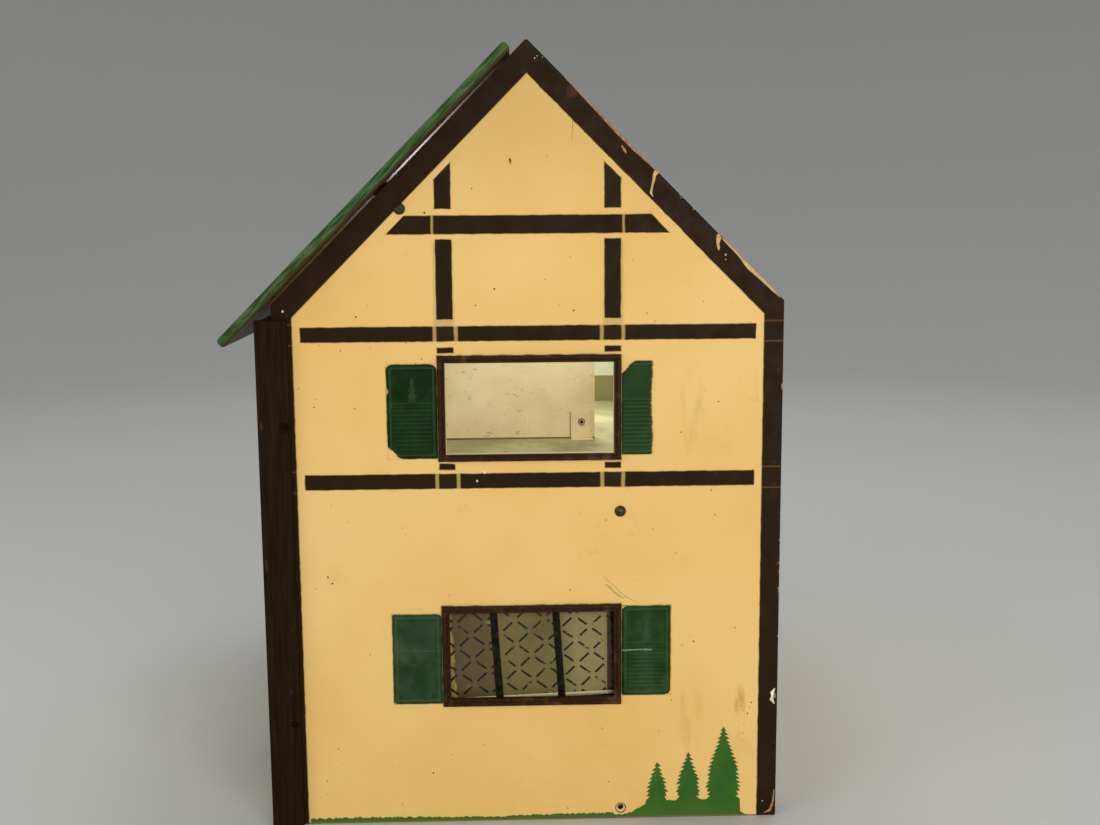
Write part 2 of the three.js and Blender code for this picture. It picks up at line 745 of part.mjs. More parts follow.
const row = new THREE.Group();
row.add(house);
export default row;
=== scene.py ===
# %% [markdown]
# # A painted wooden doll's house
# This lesson dresses a small plywood doll's house. The wooden parts come from a finished model, with
# every board, hinge and screw already in place, so the work here is paint, pressed card, a printed
# window and the small knocks of a toy that has been played with. All lengths are in metres. The ridge
# runs along X, the facade faces -Y, and the gable that the camera looks at is the one at +X.

# %% Load the finished joinery
import bpy
import json
import math
import random
from mathutils import Matrix, Vector


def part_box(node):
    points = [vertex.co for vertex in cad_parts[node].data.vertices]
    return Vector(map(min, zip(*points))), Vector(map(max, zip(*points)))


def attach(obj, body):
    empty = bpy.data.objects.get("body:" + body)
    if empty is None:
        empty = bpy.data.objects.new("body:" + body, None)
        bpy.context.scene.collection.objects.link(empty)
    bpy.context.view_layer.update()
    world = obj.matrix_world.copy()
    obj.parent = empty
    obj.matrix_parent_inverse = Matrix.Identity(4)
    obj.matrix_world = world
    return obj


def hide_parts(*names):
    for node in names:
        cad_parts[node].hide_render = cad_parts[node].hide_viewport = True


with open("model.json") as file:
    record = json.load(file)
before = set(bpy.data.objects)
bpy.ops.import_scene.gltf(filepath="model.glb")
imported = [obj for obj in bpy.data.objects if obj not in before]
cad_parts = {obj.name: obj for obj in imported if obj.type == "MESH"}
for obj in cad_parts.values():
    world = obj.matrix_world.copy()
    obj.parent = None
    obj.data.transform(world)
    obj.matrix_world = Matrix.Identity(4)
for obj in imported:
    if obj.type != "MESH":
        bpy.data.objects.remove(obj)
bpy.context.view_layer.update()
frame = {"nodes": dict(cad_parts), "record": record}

MM = 0.001
NODES = frame["nodes"]
BODY_OF = {node: body for body, nodes in frame["record"]["behaviour"]["bodies"].items() for node in nodes}

# %% [markdown]
# A few places are used again and again: the middle of the gable's depth, its front and back edges,
# the height of the eaves and the point of the roof. They could be typed in, but reading them from the
# joinery keeps every painted line in place if a board ever changes size.

# %% Measure the house
GABLE_LOW, GABLE_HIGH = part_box("gable_right")
MIDDLE = (GABLE_LOW.y + GABLE_HIGH.y) / 2
HALF_DEPTH = (GABLE_HIGH.y - GABLE_LOW.y) / 2
FACE = GABLE_HIGH.x
INNER_FACE = GABLE_LOW.x
BLUNT_TIP = 0.8 * MM
EAVES = GABLE_HIGH.z + BLUNT_TIP - HALF_DEPTH
RIDGE = EAVES + HALF_DEPTH
LEAF_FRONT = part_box("facade_leaf_right")[0].y
print(f"gable {2 * HALF_DEPTH:.3f} deep, eaves {EAVES:.4f}, ridge {RIDGE:.4f}")

# %% [markdown]
# The camera stands most of a metre from the gable, a little above the eaves, and looks slightly down,
# as somebody kneeling beside the toy would. It could be aimed with a Track To constraint, but a small
# turn and a small roll are easier to hold with a matrix made from three angles.

# %% Place the camera
VIEW = {"turn": -1.506, "tip": -8.531, "roll": -0.436}
STAND = Vector((1.0085, 0.0058, 0.3797))
FOCAL = 44.36


def camera_matrix(turn, tip, roll, place):
    looking_along_minus_x = Matrix(((0, 0, 1), (1, 0, 0), (0, 1, 0)))
    turned = Matrix.Rotation(math.radians(turn), 3, "Y")
    tipped = Matrix.Rotation(math.radians(tip), 3, "X")
    rolled = Matrix.Rotation(math.radians(roll), 3, "Z")
    facing = looking_along_minus_x @ turned @ tipped @ rolled
    return Matrix.Translation(place) @ facing.to_4x4()


lens = bpy.data.cameras.new("camera")
lens.lens = FOCAL
lens.sensor_width = 36
camera = bpy.data.objects.new("camera", lens)
bpy.context.scene.collection.objects.link(camera)
camera.matrix_world = camera_matrix(VIEW["turn"], VIEW["tip"], VIEW["roll"], STAND)
bpy.context.scene.camera = camera
print(f"camera {STAND.x - FACE:.3f} from the gable, lens {FOCAL:.1f}")

# %% [markdown]
# Paint in Blender is a small net of nodes. Building each net by hand would fill pages, so this helper
# gives short words for the steps. `plus`, `minus` and `both` add, subtract and multiply, and `most`
# takes the larger. `grain` is a noise, `dots` are scattered spots, and `sway` turns a noise into a
# small shift either way. `step` and `fade` are a soft edge up and down, `strip` is a soft band, and
# `blend` lays one colour over another. Everything is placed by the object's own coordinates, so the
# paint stays where it is when a door swings.

# %% A helper for mixing finishes
def colour(hex_code):
    parts = [int(hex_code[i : i + 2], 16) / 255 for i in (1, 3, 5)]
    linear = [c / 12.92 if c <= 0.04045 else ((c + 0.055) / 1.055) ** 2.4 for c in parts]
    return (*linear, 1)


class Finish:
    def __init__(self, name, roughness=0.6, metallic=0.0, shine=0.07):
        self.material = bpy.data.materials.new(name)
        self.material.use_nodes = True
        self.nodes = self.material.node_tree.nodes
        self.links = self.material.node_tree.links
        self.shader = self.nodes["Principled BSDF"]
        self.shader.inputs["Roughness"].default_value = roughness
        self.shader.inputs["Metallic"].default_value = metallic
        self.shader.inputs["Specular IOR Level"].default_value = shine
        coordinates = self.nodes.new("ShaderNodeTexCoord")
        self.place = coordinates.outputs["Object"]
        self.facing = self.split(coordinates.outputs["Normal"])
        self.x, self.y, self.z = self.split(self.place)

    def split(self, vector):
        node = self.nodes.new("ShaderNodeSeparateXYZ")
        self.links.new(vector, node.inputs[0])
        return list(node.outputs)

    def feed(self, socket, value):
        if isinstance(value, bpy.types.NodeSocket):
            self.links.new(value, socket)
        else:
            socket.default_value = colour(value) if isinstance(value, str) else value

    def calc(self, operation, *values):
        node = self.nodes.new("ShaderNodeMath")
        node.operation = operation
        for socket, value in zip(node.inputs, values):
            self.feed(socket, value)
        return node.outputs[0]

    def most(self, *masks):
        result = masks[0]
        for mask in masks[1:]:
            result = self.calc("MAXIMUM", result, mask)
        return result

    def both(self, *masks):
        result = masks[0]
        for mask in masks[1:]:
            result = self.calc("MULTIPLY", result, mask)
        return result

    def plus(self, first, second):
        return self.calc("ADD", first, second)

    def minus(self, first, second):
        return self.calc("SUBTRACT", first, second)

    def less(self, mask):
        return self.minus(1.0, mask)

    def away(self, value, centre):
        return self.calc("ABSOLUTE", self.minus(value, centre))

    def squares(self, u, v):
        return self.plus(self.both(u, u), self.both(v, v))

    def reach(self, u, v):
        return self.calc("SQRT", self.squares(u, v))

    def sway(self, noise, amount):
        return self.both(self.minus(noise, 0.5), amount)

    def stretched(self, stretch, shift):
        node = self.nodes.new("ShaderNodeMapping")
        node.inputs["Scale"].default_value = stretch
        node.inputs["Location"].default_value = (shift, shift * 0.7, shift * 1.3)
        self.links.new(self.place, node.inputs["Vector"])
        return node.outputs[0]

    def grain(self, size, detail=3.0, stretch=(1, 1, 1), shift=0.0, roughness=0.55):
        node = self.nodes.new("ShaderNodeTexNoise")
        node.inputs["Scale"].default_value = 1 / size
        node.inputs["Detail"].default_value = detail
        node.inputs["Roughness"].default_value = roughness
        self.links.new(self.stretched(stretch, shift), node.inputs["Vector"])
        return node.outputs["Fac"]

    def grain_along(self, first, second):
        place = self.nodes.new("ShaderNodeCombineXYZ")
        self.feed(place.inputs[0], first)
        self.feed(place.inputs[1], second)
        node = self.nodes.new("ShaderNodeTexNoise")
        node.inputs["Scale"].default_value = 1.0
        node.inputs["Detail"].default_value = 5
        self.links.new(place.outputs[0], node.inputs["Vector"])
        return node.outputs["Fac"]

    def cells(self, size, shift=0.0):
        node = self.nodes.new("ShaderNodeTexVoronoi")
        node.inputs["Scale"].default_value = 1 / size
        self.links.new(self.stretched((1, 1, 1), shift), node.inputs["Vector"])
        return node.outputs["Distance"]

    def step(self, value, start, end, low=0.0, high=1.0):
        node = self.nodes.new("ShaderNodeMapRange")
        node.interpolation_type = "SMOOTHSTEP"
        for socket, number in zip(node.inputs, (value, start, end, low, high)):
            self.feed(socket, number)
        return node.outputs[0]

    def fade(self, value, start, end, high=1.0):
        return self.step(value, start, end, high, 0.0)

    def strip(self, value, low, high, soft):
        return self.both(self.step(value, low - soft, low + soft), self.fade(value, high - soft, high + soft))

    def dots(self, spacing, shift, size, patch, patch_edge):
        spots = self.fade(self.cells(spacing, shift), *size)
        return self.both(spots, self.step(self.grain(patch, 2), *patch_edge))

    def blend(self, share, under, over, mode="MIX"):
        node = self.nodes.new("ShaderNodeMix")
        node.data_type = "RGBA"
        node.blend_type = mode
        self.feed(node.inputs[0], share)
        self.feed(node.inputs[6], under)
        self.feed(node.inputs[7], over)
        return node.outputs[2]

    def bump(self, height, depth, before=None):
        node = self.nodes.new("ShaderNodeBump")
        node.inputs["Distance"].default_value = depth
        self.feed(node.inputs["Height"], height)
        if before is not None:
            self.links.new(before, node.inputs["Normal"])
        return node.outputs[0]

    def coat(self, base, roughness=None, normal=None):
        self.feed(self.shader.inputs["Base Color"], base)
        if roughness is not None:
            self.feed(self.shader.inputs["Roughness"], roughness)
        if normal is not None:
            self.feed(self.shader.inputs["Normal"], normal)
        return self.material


def wear(node, finish, edge=0.35 * MM):
    body = NODES[node]
    body.data.materials.clear()
    body.data.materials.append(finish)
    if edge:
        rounding = body.modifiers.new("rounded edges", "BEVEL")
        rounding.width = edge
        rounding.segments = 2
        rounding.limit_method = "ANGLE"
        rounding.angle_limit = math.radians(40)
        rounding.harden_normals = False


print("finish helper ready")

# %% [markdown]
# The gable shows almost every finish at once: cream satin paint, timbers sprayed dark brown through a
# stencil, a broad brown band along its edges, and bare chipped wood on the sawn edge. It could be an
# image, but a stencil is only a set of straight bars, so each bar is a soft strip across and a soft
# strip up, multiplied together. Softness of half a millimetre gives the fuzzy sprayed edge.

# %% Stencilled timbers on a gable
CREAM = "#e0b66c"
CREAM_DIRTY = "#b48c4e"
CREAM_PALE = "#e6c07a"
BROWN = "#241707"
BROWN_RED = "#352010"
BARE_PLY = "#b98f63"
BARE_RED = "#8b5a3c"

BAND = 12 * MM
SLOPE_BORDER = RIDGE - 19.8 * MM
POST = (45 * MM, 55 * MM)
BEAMS = {
    "collar": (365.5 * MM, 376.6 * MM),
    "eaves": (302.2 * MM, 311.4 * MM),
    "floor": (212.8 * MM, 222.2 * MM),
}
SPRAY = 0.5 * MM
GAPS = ((42.4 * MM, 44.6 * MM), (55.2 * MM, 57.3 * MM))
HOLE = (54.7 * MM, 6.8 * MM)


def gable_timbers(f, across, up):
    """The mask of all brown bars: 1 where the stencil let the paint through."""
    side = f.calc("ABSOLUTE", across)
    climb = f.plus(side, up)
    joints = f.most(*(f.strip(side, *gap, SPRAY) for gap in GAPS))
    solid = f.less(f.both(joints, 0.5))
    long_beams = f.most(*(f.strip(up, *BEAMS[beam], SPRAY) for beam in ("eaves", "floor")))
    long_beams = f.both(long_beams, f.fade(side, 135.6 * MM, 136.4 * MM), solid)
    collar = f.both(
        f.strip(up, *BEAMS["collar"], SPRAY),
        f.fade(climb, 449 * MM, 450 * MM),
        f.less(f.both(f.strip(side, 55.8 * MM, 57.2 * MM, SPRAY), 0.5)),
    )
    post_levels = f.most(
        f.strip(up, 224.4 * MM, 228.3 * MM, SPRAY),
        f.strip(up, 295.2 * MM, 298.8 * MM, SPRAY),
        f.strip(up, 315.2 * MM, 362.6 * MM, SPRAY),
        f.both(f.step(up, 379.8 * MM, 380.8 * MM), f.fade(climb, 452 * MM, 453 * MM)),
    )
    posts = f.both(f.strip(side, *POST, SPRAY), post_levels)
    haze = f.both(f.strip(side, 44.4 * MM, 56.4 * MM, 1.3 * MM), f.strip(up, 303 * MM, 361 * MM, 2 * MM))
    return f.most(long_beams, collar, posts, f.both(haze, 0.24))


def joint_squares(f, across, up):
    """Where a beam crosses a post the brown went on twice and dried greyer."""
    side = f.calc("ABSOLUTE", across)
    levels = f.most(*(f.strip(up, *BEAMS[beam], SPRAY) for beam in ("eaves", "floor")))
    return f.both(f.strip(side, GAPS[0][1], GAPS[1][0], SPRAY), levels)


def gable_border(f, across, up):
    side = f.calc("ABSOLUTE", across)
    climb = f.plus(side, up)
    upright = f.step(side, HALF_DEPTH - BAND - SPRAY, HALF_DEPTH - BAND + SPRAY)
    slope = f.step(climb, SLOPE_BORDER - 0.6 * MM, SLOPE_BORDER + 0.6 * MM)
    return f.most(upright, slope)


print("stencil bars:", ", ".join(BEAMS))

# %% [markdown]
# Old cream paint is never one cream. It yellows in clouds, it has a faint brush or roller texture, and
# it collects specks and fine scratches. Each of those is a noise of its own size: 120 mm for the
# clouds, 1.6 mm for the texture, and thresholded cells for the specks. Scratches are the thin places
# where a stretched noise crosses one half. The brown goes on last, with a little red in its thin spots.

# %% Cream and brown wall paint
def cream_coat(f, dirt=1.0):
    clouds = f.grain(0.12, 3, shift=3.1)
    base = f.blend(f.step(clouds, 0.3, 0.75), CREAM, CREAM_PALE)
    blotches = f.step(f.grain(0.03, 5, shift=7.7), 0.55, 0.85, 0.0, 0.16 * dirt)
    base = f.blend(blotches, base, CREAM_DIRTY)
    spots = f.dots(0.0075, 1.3, (0.05, 0.09), 0.02, (0.55, 0.62))
    base = f.blend(f.both(spots, 0.75 * dirt), base, "#6b4a26")
    thread = f.away(f.grain(0.03, 2, (1, 0.5, 1), 5.0), 0.5)
    scratch = f.both(f.fade(thread, 0.0, 0.004), f.step(f.grain(0.05, 2, shift=9), 0.56, 0.66))
    return f.blend(f.both(scratch, 0.14 * dirt), base, "#8a6636")


def brown_coat(f):
    thin = f.step(f.grain(0.018, 5, shift=2.2), 0.5, 0.75, 0.0, 0.4)
    base = f.blend(thin, BROWN, BROWN_RED)
    dust = f.step(f.grain(0.006, 6, shift=4.4), 0.62, 0.8, 0.0, 0.25)
    return f.blend(dust, base, "#54452c")


def brushed_bump(f, strength=1.0):
    fine = f.grain(0.0016, 4, (1, 1, 0.45), 1.0)
    broad = f.grain(0.02, 3, shift=6.0)
    first = f.bump(fine, 0.06 * MM * strength)
    return f.bump(broad, 0.5 * MM * strength, first)


def satin(f, low=0.38, high=0.62):
    return f.step(f.grain(0.01, 4, shift=8.0), 0.3, 0.7, low, high)


print("cream and brown mixed")

# %% [markdown]
# The camera's gable has its own story. Its rear slope and rear edge are chipped to bare wood, faint
# greenish smears lie beside both windows where somebody wiped wet paint, and thin broken lines of
# painted shade run round the shutters and frames. The chips are made by asking how far a point is
# from the edge, and letting a noise decide how wide the bare margin is just there. The other gable is
# the same, with less wear.

# %% Finish the right-hand gable
WORN_SHUTTERS = {
    "gable_right_upper_shutter_left": "torn low",
    "gable_right_upper_shutter_right": "broken",
    "gable_right_lower_shutter_left": "plain",
    "gable_right_lower_shutter_right": "scratched",
}


def smear(f, across, up, at, size, strength, shift):
    u = f.calc("DIVIDE", f.minus(across, at[0]), size[0])
    v = f.calc("DIVIDE", f.minus(up, at[1]), size[1])
    soft = f.fade(f.squares(u, v), 0.1, 1.0)
    broken = f.step(f.grain(0.006, 5, (1, 1, 0.25), shift), 0.4, 0.72)
    return f.both(f.both(soft, broken), strength)


def grime_round(f, nodes):
    """Thin broken lines of painted shade round the card shutters and the window frames, where they meet the
    wall.
    """
    lines = []
    for node in nodes:
        low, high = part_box(node)
        middle, half = (low + high) / 2, (high - low) / 2
        beside = f.minus(f.away(f.y, middle.y), half.y)
        above = f.minus(f.away(f.z, middle.z), half.z)
        outside = f.most(beside, above)
        lines.append(f.strip(outside, -0.2 * MM, 0.5 * MM, 0.3 * MM))
    broken = f.step(f.grain(0.007, 4, shift=17.0), 0.4, 0.6, 0.15, 0.8)
    return f.both(f.most(*lines), broken)


def gable_finish(name, outward, worn):
    f = Finish(name)
    across = f.minus(f.y, MIDDLE)
    wobble = f.sway(f.grain(0.007, 2, shift=1.7), 0.9 * MM)
    across_wobbly = f.plus(across, wobble)
    up_wobbly = f.plus(f.z, wobble)
    side = f.calc("ABSOLUTE", across)
    timbers = gable_timbers(f, across_wobbly, up_wobbly)
    border = gable_border(f, across_wobbly, up_wobbly)
    cream = cream_coat(f)
    for at, size, strength, shift in (
        ((98 * MM, 62 * MM), (11 * MM, 30 * MM), 0.3, 2.0),
        ((98 * MM, 262 * MM), (9 * MM, 34 * MM), 0.3, 5.0),
    ):
        green_smear = smear(f, across, f.z, at, size, strength * worn, shift)
        cream = f.blend(green_smear, cream, "#8f8446")
    stain = smear(f, across, f.z, (129 * MM, 69 * MM), (4.5 * MM, 21 * MM), 0.8 * worn, 6.0)
    cream = f.blend(stain, cream, "#a9772b")
    # painted shade: the cream is darkened towards the apex of the gable, less on the left gable
    cream = f.blend(f.step(f.z, 0.34, 0.46, 0.0, 0.2 * worn), cream, "#7d5f2c")
    gable = "gable_right" if outward > 0 else "gable_left"
    fitted = sorted(node for node in NODES if gable in node and ("shutter" in node or "frame" in node))
    unbroken = [node for node in fitted if WORN_SHUTTERS.get(node) != "broken"]
    # painted shade: thin broken dark lines round the shutters and window frames where they meet the wall
    cream = f.blend(f.both(grime_round(f, unbroken), worn), cream, "#4a3a1c")
    brown = brown_coat(f)
    edges = (210.9, 223.8, 300.3, 312.5)
    overlap = f.most(*(f.strip(f.z, level * MM, (level + 0.8) * MM, 0.3 * MM) for level in edges))
    brown = f.blend(f.both(overlap, 0.45), brown, "#7a5c34")
    squares = joint_squares(f, across_wobbly, up_wobbly)
    brown = f.blend(f.both(squares, 0.15), brown, "#3c2e18")
    rubbed = smear(f, across, f.z, (24.5 * MM, 447.5 * MM), (8 * MM, 4.5 * MM), 0.6 * worn, 8.0)
    brown = f.blend(rubbed, brown, "#6a4038")
    painted = f.blend(f.most(timbers, border), cream, brown)
    from_hole = f.reach(f.minus(across, HOLE[0]), f.minus(f.z, HOLE[1]))
    ringed = f.plus(from_hole, f.both(wobble, 0.5))
    painted = f.blend(f.fade(ringed, 3.3 * MM, 3.5 * MM, 0.95 * worn), painted, "#241808")
    painted = f.blend(f.fade(f.z, 0.5 * MM, 0.9 * MM, 0.85), painted, "#2c1f10")
    collar = f.both(f.fade(ringed, 2.8 * MM, 3.0 * MM, worn), f.step(f.facing[0], 0.3, 0.5))
    margin = f.calc("DIVIDE", f.minus(RIDGE, f.plus(side, f.z)), math.sqrt(2))
    chip_noise = f.grain(0.011, 5, shift=11.0, roughness=0.65)
    chip_width = f.step(chip_noise, 0.54, 0.8, -1.0 * MM, 4.0 * MM * worn)
    chipped = f.fade(f.minus(margin, chip_width), -0.15 * MM, 0.15 * MM)
    chipped = f.both(chipped, f.step(across, -0.02, 0.01))
    nibble = f.step(f.grain(0.006, 5, shift=21.0, roughness=0.65), 0.5, 0.8, -1.0 * MM, 3.2 * MM * worn)
    from_back = f.minus(HALF_DEPTH, across)
    nibbled = f.fade(f.minus(from_back, nibble), -0.15 * MM, 0.15 * MM)
    chipped = f.most(chipped, nibbled)
    bare = f.blend(f.grain(0.004, 4, (1, 6, 1), 2.0), BARE_PLY, BARE_RED)
    face = f.blend(chipped, painted, bare)
    inner = f.blend(f.grain(0.06, 4, shift=5.0), "#e2ead0", "#d3dcbe")
    # the inner face turns a darker khaki below 231.5 mm
    darker_low_band = f.fade(f.z, 0.2315, 0.2325)
    inner = f.blend(darker_low_band, inner, "#908a60")
    outside = f.step(f.both(f.facing[0], outward), -0.2, 0.4)
    wall = f.blend(outside, inner, face)
    sideways = f.fade(f.calc("ABSOLUTE", f.facing[0]), 0.55, 0.8)
    ply = f.step(f.grain(0.0012, 2, (1, 0.02, 0.02), 1.0), 0.4, 0.6)
    sawn = f.blend(ply, "#6d4527", "#a06f47")
    sawn = f.blend(f.step(f.grain(0.016, 5, shift=14.0), 0.36, 0.44), sawn, brown)
    chips = f.both(chipped, outside)
    height = f.minus(f.most(timbers, border), f.both(chips, 3.0))
    normal = f.bump(height, 0.06 * MM, brushed_bump(f))
    whole = f.blend(collar, f.blend(sideways, wall, sawn), "#d9bf90")
    return f.coat(whole, satin(f, 0.42, 0.66), normal)


wear("gable_right", gable_finish("right gable paint", 1.0, 1.0), 0.5 * MM)
wear("gable_left", gable_finish("left gable paint", -1.0, 0.6), 0.5 * MM)
print("gables painted")

# %% [markdown]
# The corner stiles and the eaves board are the same nearly black brown, put on thickly with a brush
# along the length of the wood. A noise stretched fourteen times along the wood gives the brush lines;
# the same noise in the roughness makes them catch the light unevenly.

# %% Brushed dark brown for the stiles
def brushed_brown(name, along):
    f = Finish(name)
    stretch = tuple(0.07 if axis == along else 1.0 for axis in range(3))
    lines = f.grain(0.0022, 4, stretch, 2.0)
    base = f.blend(f.step(lines, 0.35, 0.7), "#190f04", "#241606")
    rubbed = f.step(f.grain(0.02, 6, shift=3.0, roughness=0.7), 0.64, 0.72, 0.0, 0.7)
    base = f.blend(rubbed, base, "#5c4124")
    normal = f.bump(lines, 0.25 * MM, f.bump(f.grain(0.03, 3), 0.8 * MM))
    return f.coat(base, f.step(lines, 0.3, 0.7, 0.34, 0.55), normal)


STILE_BROWN = brushed_brown("stile brown", 2)
EAVES_BROWN = brushed_brown("eaves board brown", 0)
for side in ("right", "left"):
    wear("corner_stile_" + side, STILE_BROWN, 0.7 * MM)
wear("eaves_fascia", EAVES_BROWN, 0.5 * MM)
print("stiles and eaves board brushed")

# %% [markdown]
# The roof board is green gloss over plywood. The paint was dragged down the slope, so its streaks run
# that way, and its thin edges are darker, with the board showing at their foot. Underneath it is bare
# wood. The same recipe serves the fixed back panel. The distance down the slope is a simple sum of Y
# and Z, which makes the streaks easy to turn.

# %% Green roof paint
def roof_green(name, rear):
    f = Finish(name)
    sign = 1.0 if rear else -1.0
    back_or_front = f.both(f.minus(f.y, MIDDLE), sign)
    down = f.minus(back_or_front, f.z)
    streaks = f.grain_along(f.both(f.x, 260.0), f.both(down, 9.0))
    base = f.blend(f.step(streaks, 0.3, 0.7), "#2f5a26", "#4b7a3a")
    base = f.blend(f.step(f.grain(0.05, 4, shift=1.0), 0.5, 0.75, 0.0, 0.5), base, "#254a20")
    pale_patches = f.step(f.grain(0.012, 7, shift=5.0, roughness=0.7), 0.66, 0.72, 0.0, 0.8)
    base = f.blend(pale_patches, base, "#8d9465")
    worn = f.step(f.grain(0.008, 6, shift=8.0, roughness=0.7), 0.6, 0.66)
    thin_face = f.step(f.calc("ABSOLUTE", f.facing[0]), 0.3, 0.7)
    outwards = f.both(f.facing[1], sign)
    underside = f.fade(f.plus(outwards, f.facing[2]), -0.9, -0.5)
    lower_end = f.step(f.minus(outwards, f.facing[2]), 0.6, 1.2)
    base = f.blend(f.both(f.most(thin_face, lower_end), worn), base, "#6a4a2c")
    above = f.plus(back_or_front, f.minus(f.z, RIDGE))
    above = f.calc("DIVIDE", above, math.sqrt(2))
    wavy = f.plus(above, f.sway(f.grain(0.02, 4, shift=9.0), 4.0 * MM))
    edge_lines = f.grain_along(f.both(down, 55.0), f.both(above, 700.0))
    edge_green = f.blend(f.step(edge_lines, 0.36, 0.64), "#223a16", "#48603a")
    edge_paint = f.blend(f.step(wavy, 2.2 * MM, 3.0 * MM), "#3a2c14", edge_green)
    base = f.blend(f.most(thin_face, lower_end), base, edge_paint)
    bare = f.blend(f.grain(0.003, 5, (0.05, 1, 1), 3.0), "#523a20", "#302112")
    base = f.blend(underside, base, bare)
    normal = f.bump(streaks, 0.35 * MM, f.bump(f.grain(0.02, 3), 0.5 * MM))
    return f.coat(base, f.step(streaks, 0.3, 0.7, 0.3, 0.5), normal)


wear("front_roof", roof_green("front roof green", False), 0)
wear("roof_back_panel", roof_green("back roof green", True), 0.4 * MM)
print("roof painted")

# %% [markdown]
# Inside, the boards are flat paint and bare softwood. The upper floor is khaki with dark marks, the
# partitions are a warm off-white that has gone speckled, and the frame pieces that nobody sees are
# left as sawn wood. Sawn wood is a fine noise stretched along the grain, plus wider rings of tone.

# %% Inside boards
def flat_paint(name, light, dark, specks, dark_marks_and_shade=None):
    f = Finish(name)
    base = f.blend(f.step(f.grain(0.05, 5, shift=4.0), 0.35, 0.7), light, dark)
    marks = f.step(f.grain(0.0045, 4, (1, 0.4, 1), 12.0), 0.66, 0.72, 0.0, specks)
    base = f.blend(marks, base, "#5a4728")
    dots = f.dots(0.004, 3.3, (0.1, 0.16), 0.012, (0.5, 0.6))
    base = f.blend(f.both(dots, specks), base, "#8c7450")
    thread = f.away(f.grain(0.02, 2, (1, 0.6, 1.6), 5.0), 0.5)
    base = f.blend(f.fade(thread, 0.0, 0.003, 0.3), base, "#9a8056")
    # extra dark layer: real tread marks on the floor, painted shade on the upper partition, a dark ring round
    # the bracket screw
    if dark_marks_and_shade:
        base = f.blend(dark_marks_and_shade(f), base, "#3d2f1a")
    return f.coat(base, satin(f, 0.55, 0.75), brushed_bump(f, 0.8))


def sawn_wood(name, along, light="#c39a68", dark="#94693d"):
    f = Finish(name)
    stretch = tuple(0.04 if axis == along else 1.0 for axis in range(3))
    rings = f.grain(0.012, 3, stretch, 1.0)
    fibre = f.grain(0.0011, 5, stretch, 2.0)
    base = f.blend(f.step(rings, 0.35, 0.65), light, dark)
    base = f.blend(f.step(fibre, 0.5, 0.75, 0.0, 0.5), base, "#6f4b28")
    return f.coat(base, f.step(fibre, 0.3, 0.7, 0.62, 0.82), f.bump(fibre, 0.2 * MM))


def dirt_in_the_corners(f):
    """Painted shade: dark lines where the upper partition meets the floor and its bracket."""
    low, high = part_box("partition_bracket")
    foot = f.fade(f.z, low.z + 0.5 * MM, low.z + 1.1 * MM, 0.85)
    beside = f.strip(f.y, low.y - 0.9 * MM, low.y + 0.5 * MM, 0.15 * MM)
    return f.most(foot, f.both(beside, f.fade(f.z, high.z, high.z + 1 * MM, 0.7)))


def scuffed_floor(f):
    """Dark tread marks and grit on the upper floor."""
    return f.step(f.grain(0.007, 6, (1, 0.5, 1), 8.0, 0.7), 0.6, 0.68, 0.0, 0.6)


OFF_WHITES = ("#e2d0a4", "#d3bd8f")
wear("lower_partition", flat_paint("partition off-white", *OFF_WHITES, 0.5))
# the upper partition gets painted shade along its foot and beside its bracket
wear("upper_partition", flat_paint("upper partition off-white", *OFF_WHITES, 0.5, dirt_in_the_corners))
wear("upper_floor", flat_paint("floor khaki", "#b1aa7c", "#8f8960", 0.8, scuffed_floor))
for node, along in (
    ("base_board", 0),
    ("floor_batten_right", 1),
    ("floor_batten_left", 1),
    ("front_purlin", 0),
):
    wear(node, sawn_wood(node.replace("_", " ") + " wood", along), 0.4 * MM)
wear("ridge_bar", sawn_wood("weathered ridge wood", 0, "#7d6040", "#5c422a"), 0.4 * MM)
print("inside boards finished")

# %% [markdown]
# The facade leaves and the back wall carry the same cream and brown as the gables. Nobody has
# recorded what was painted on them, so they follow the gable's own scheme: a brown border, long beams
# with their stencil gaps, and short blocks of post above and below the beams.

# %% Finish the facade leaves and the back wall
def straight_wall(name, centres, width, levels, top, doorway=None):
    f = Finish(name)
    wobble = f.sway(f.grain(0.007, 2, shift=1.7), 0.9 * MM)
    across = f.plus(f.x, wobble)
    up = f.plus(f.z, wobble)
    side = f.calc("ABSOLUTE", across)
    border = f.step(side, width / 2 - BAND - SPRAY, width / 2 - BAND + SPRAY)
    beams = f.most(*(f.strip(up, low, high, SPRAY) for low, high in levels["beams"]))
    posts = []
    gaps = []
    for centre in centres:
        from_window = f.away(across, centre)
        gaps += [f.strip(from_window, *gap, SPRAY) for gap in GAPS]
        posts.append(f.strip(from_window, *POST, SPRAY))
    blocks = f.most(*(f.strip(up, low, high, SPRAY) for low, high in levels["blocks"]))
    masks = [border, f.both(beams, f.less(f.most(*gaps))), f.both(f.most(*posts), blocks)]
    masks.append(f.step(up, top - 3 * MM, top - 2.4 * MM))
    if doorway:
        low, high, head = doorway
        jambs = f.strip(across, low - 7 * MM, high + 7 * MM, SPRAY)
        masks.append(f.both(jambs, f.fade(up, head + 7 * MM, head + 8 * MM)))
    painted = f.blend(f.most(*masks), cream_coat(f), brown_coat(f))
    inside = f.blend(f.grain(0.06, 4, shift=5.0), "#d9cf9c", "#c3b983")
    outside = f.step(f.both(f.facing[1], levels["outward"]), -0.2, 0.4)
    return f.coat(f.blend(outside, inside, painted), satin(f, 0.42, 0.66), brushed_bump(f))


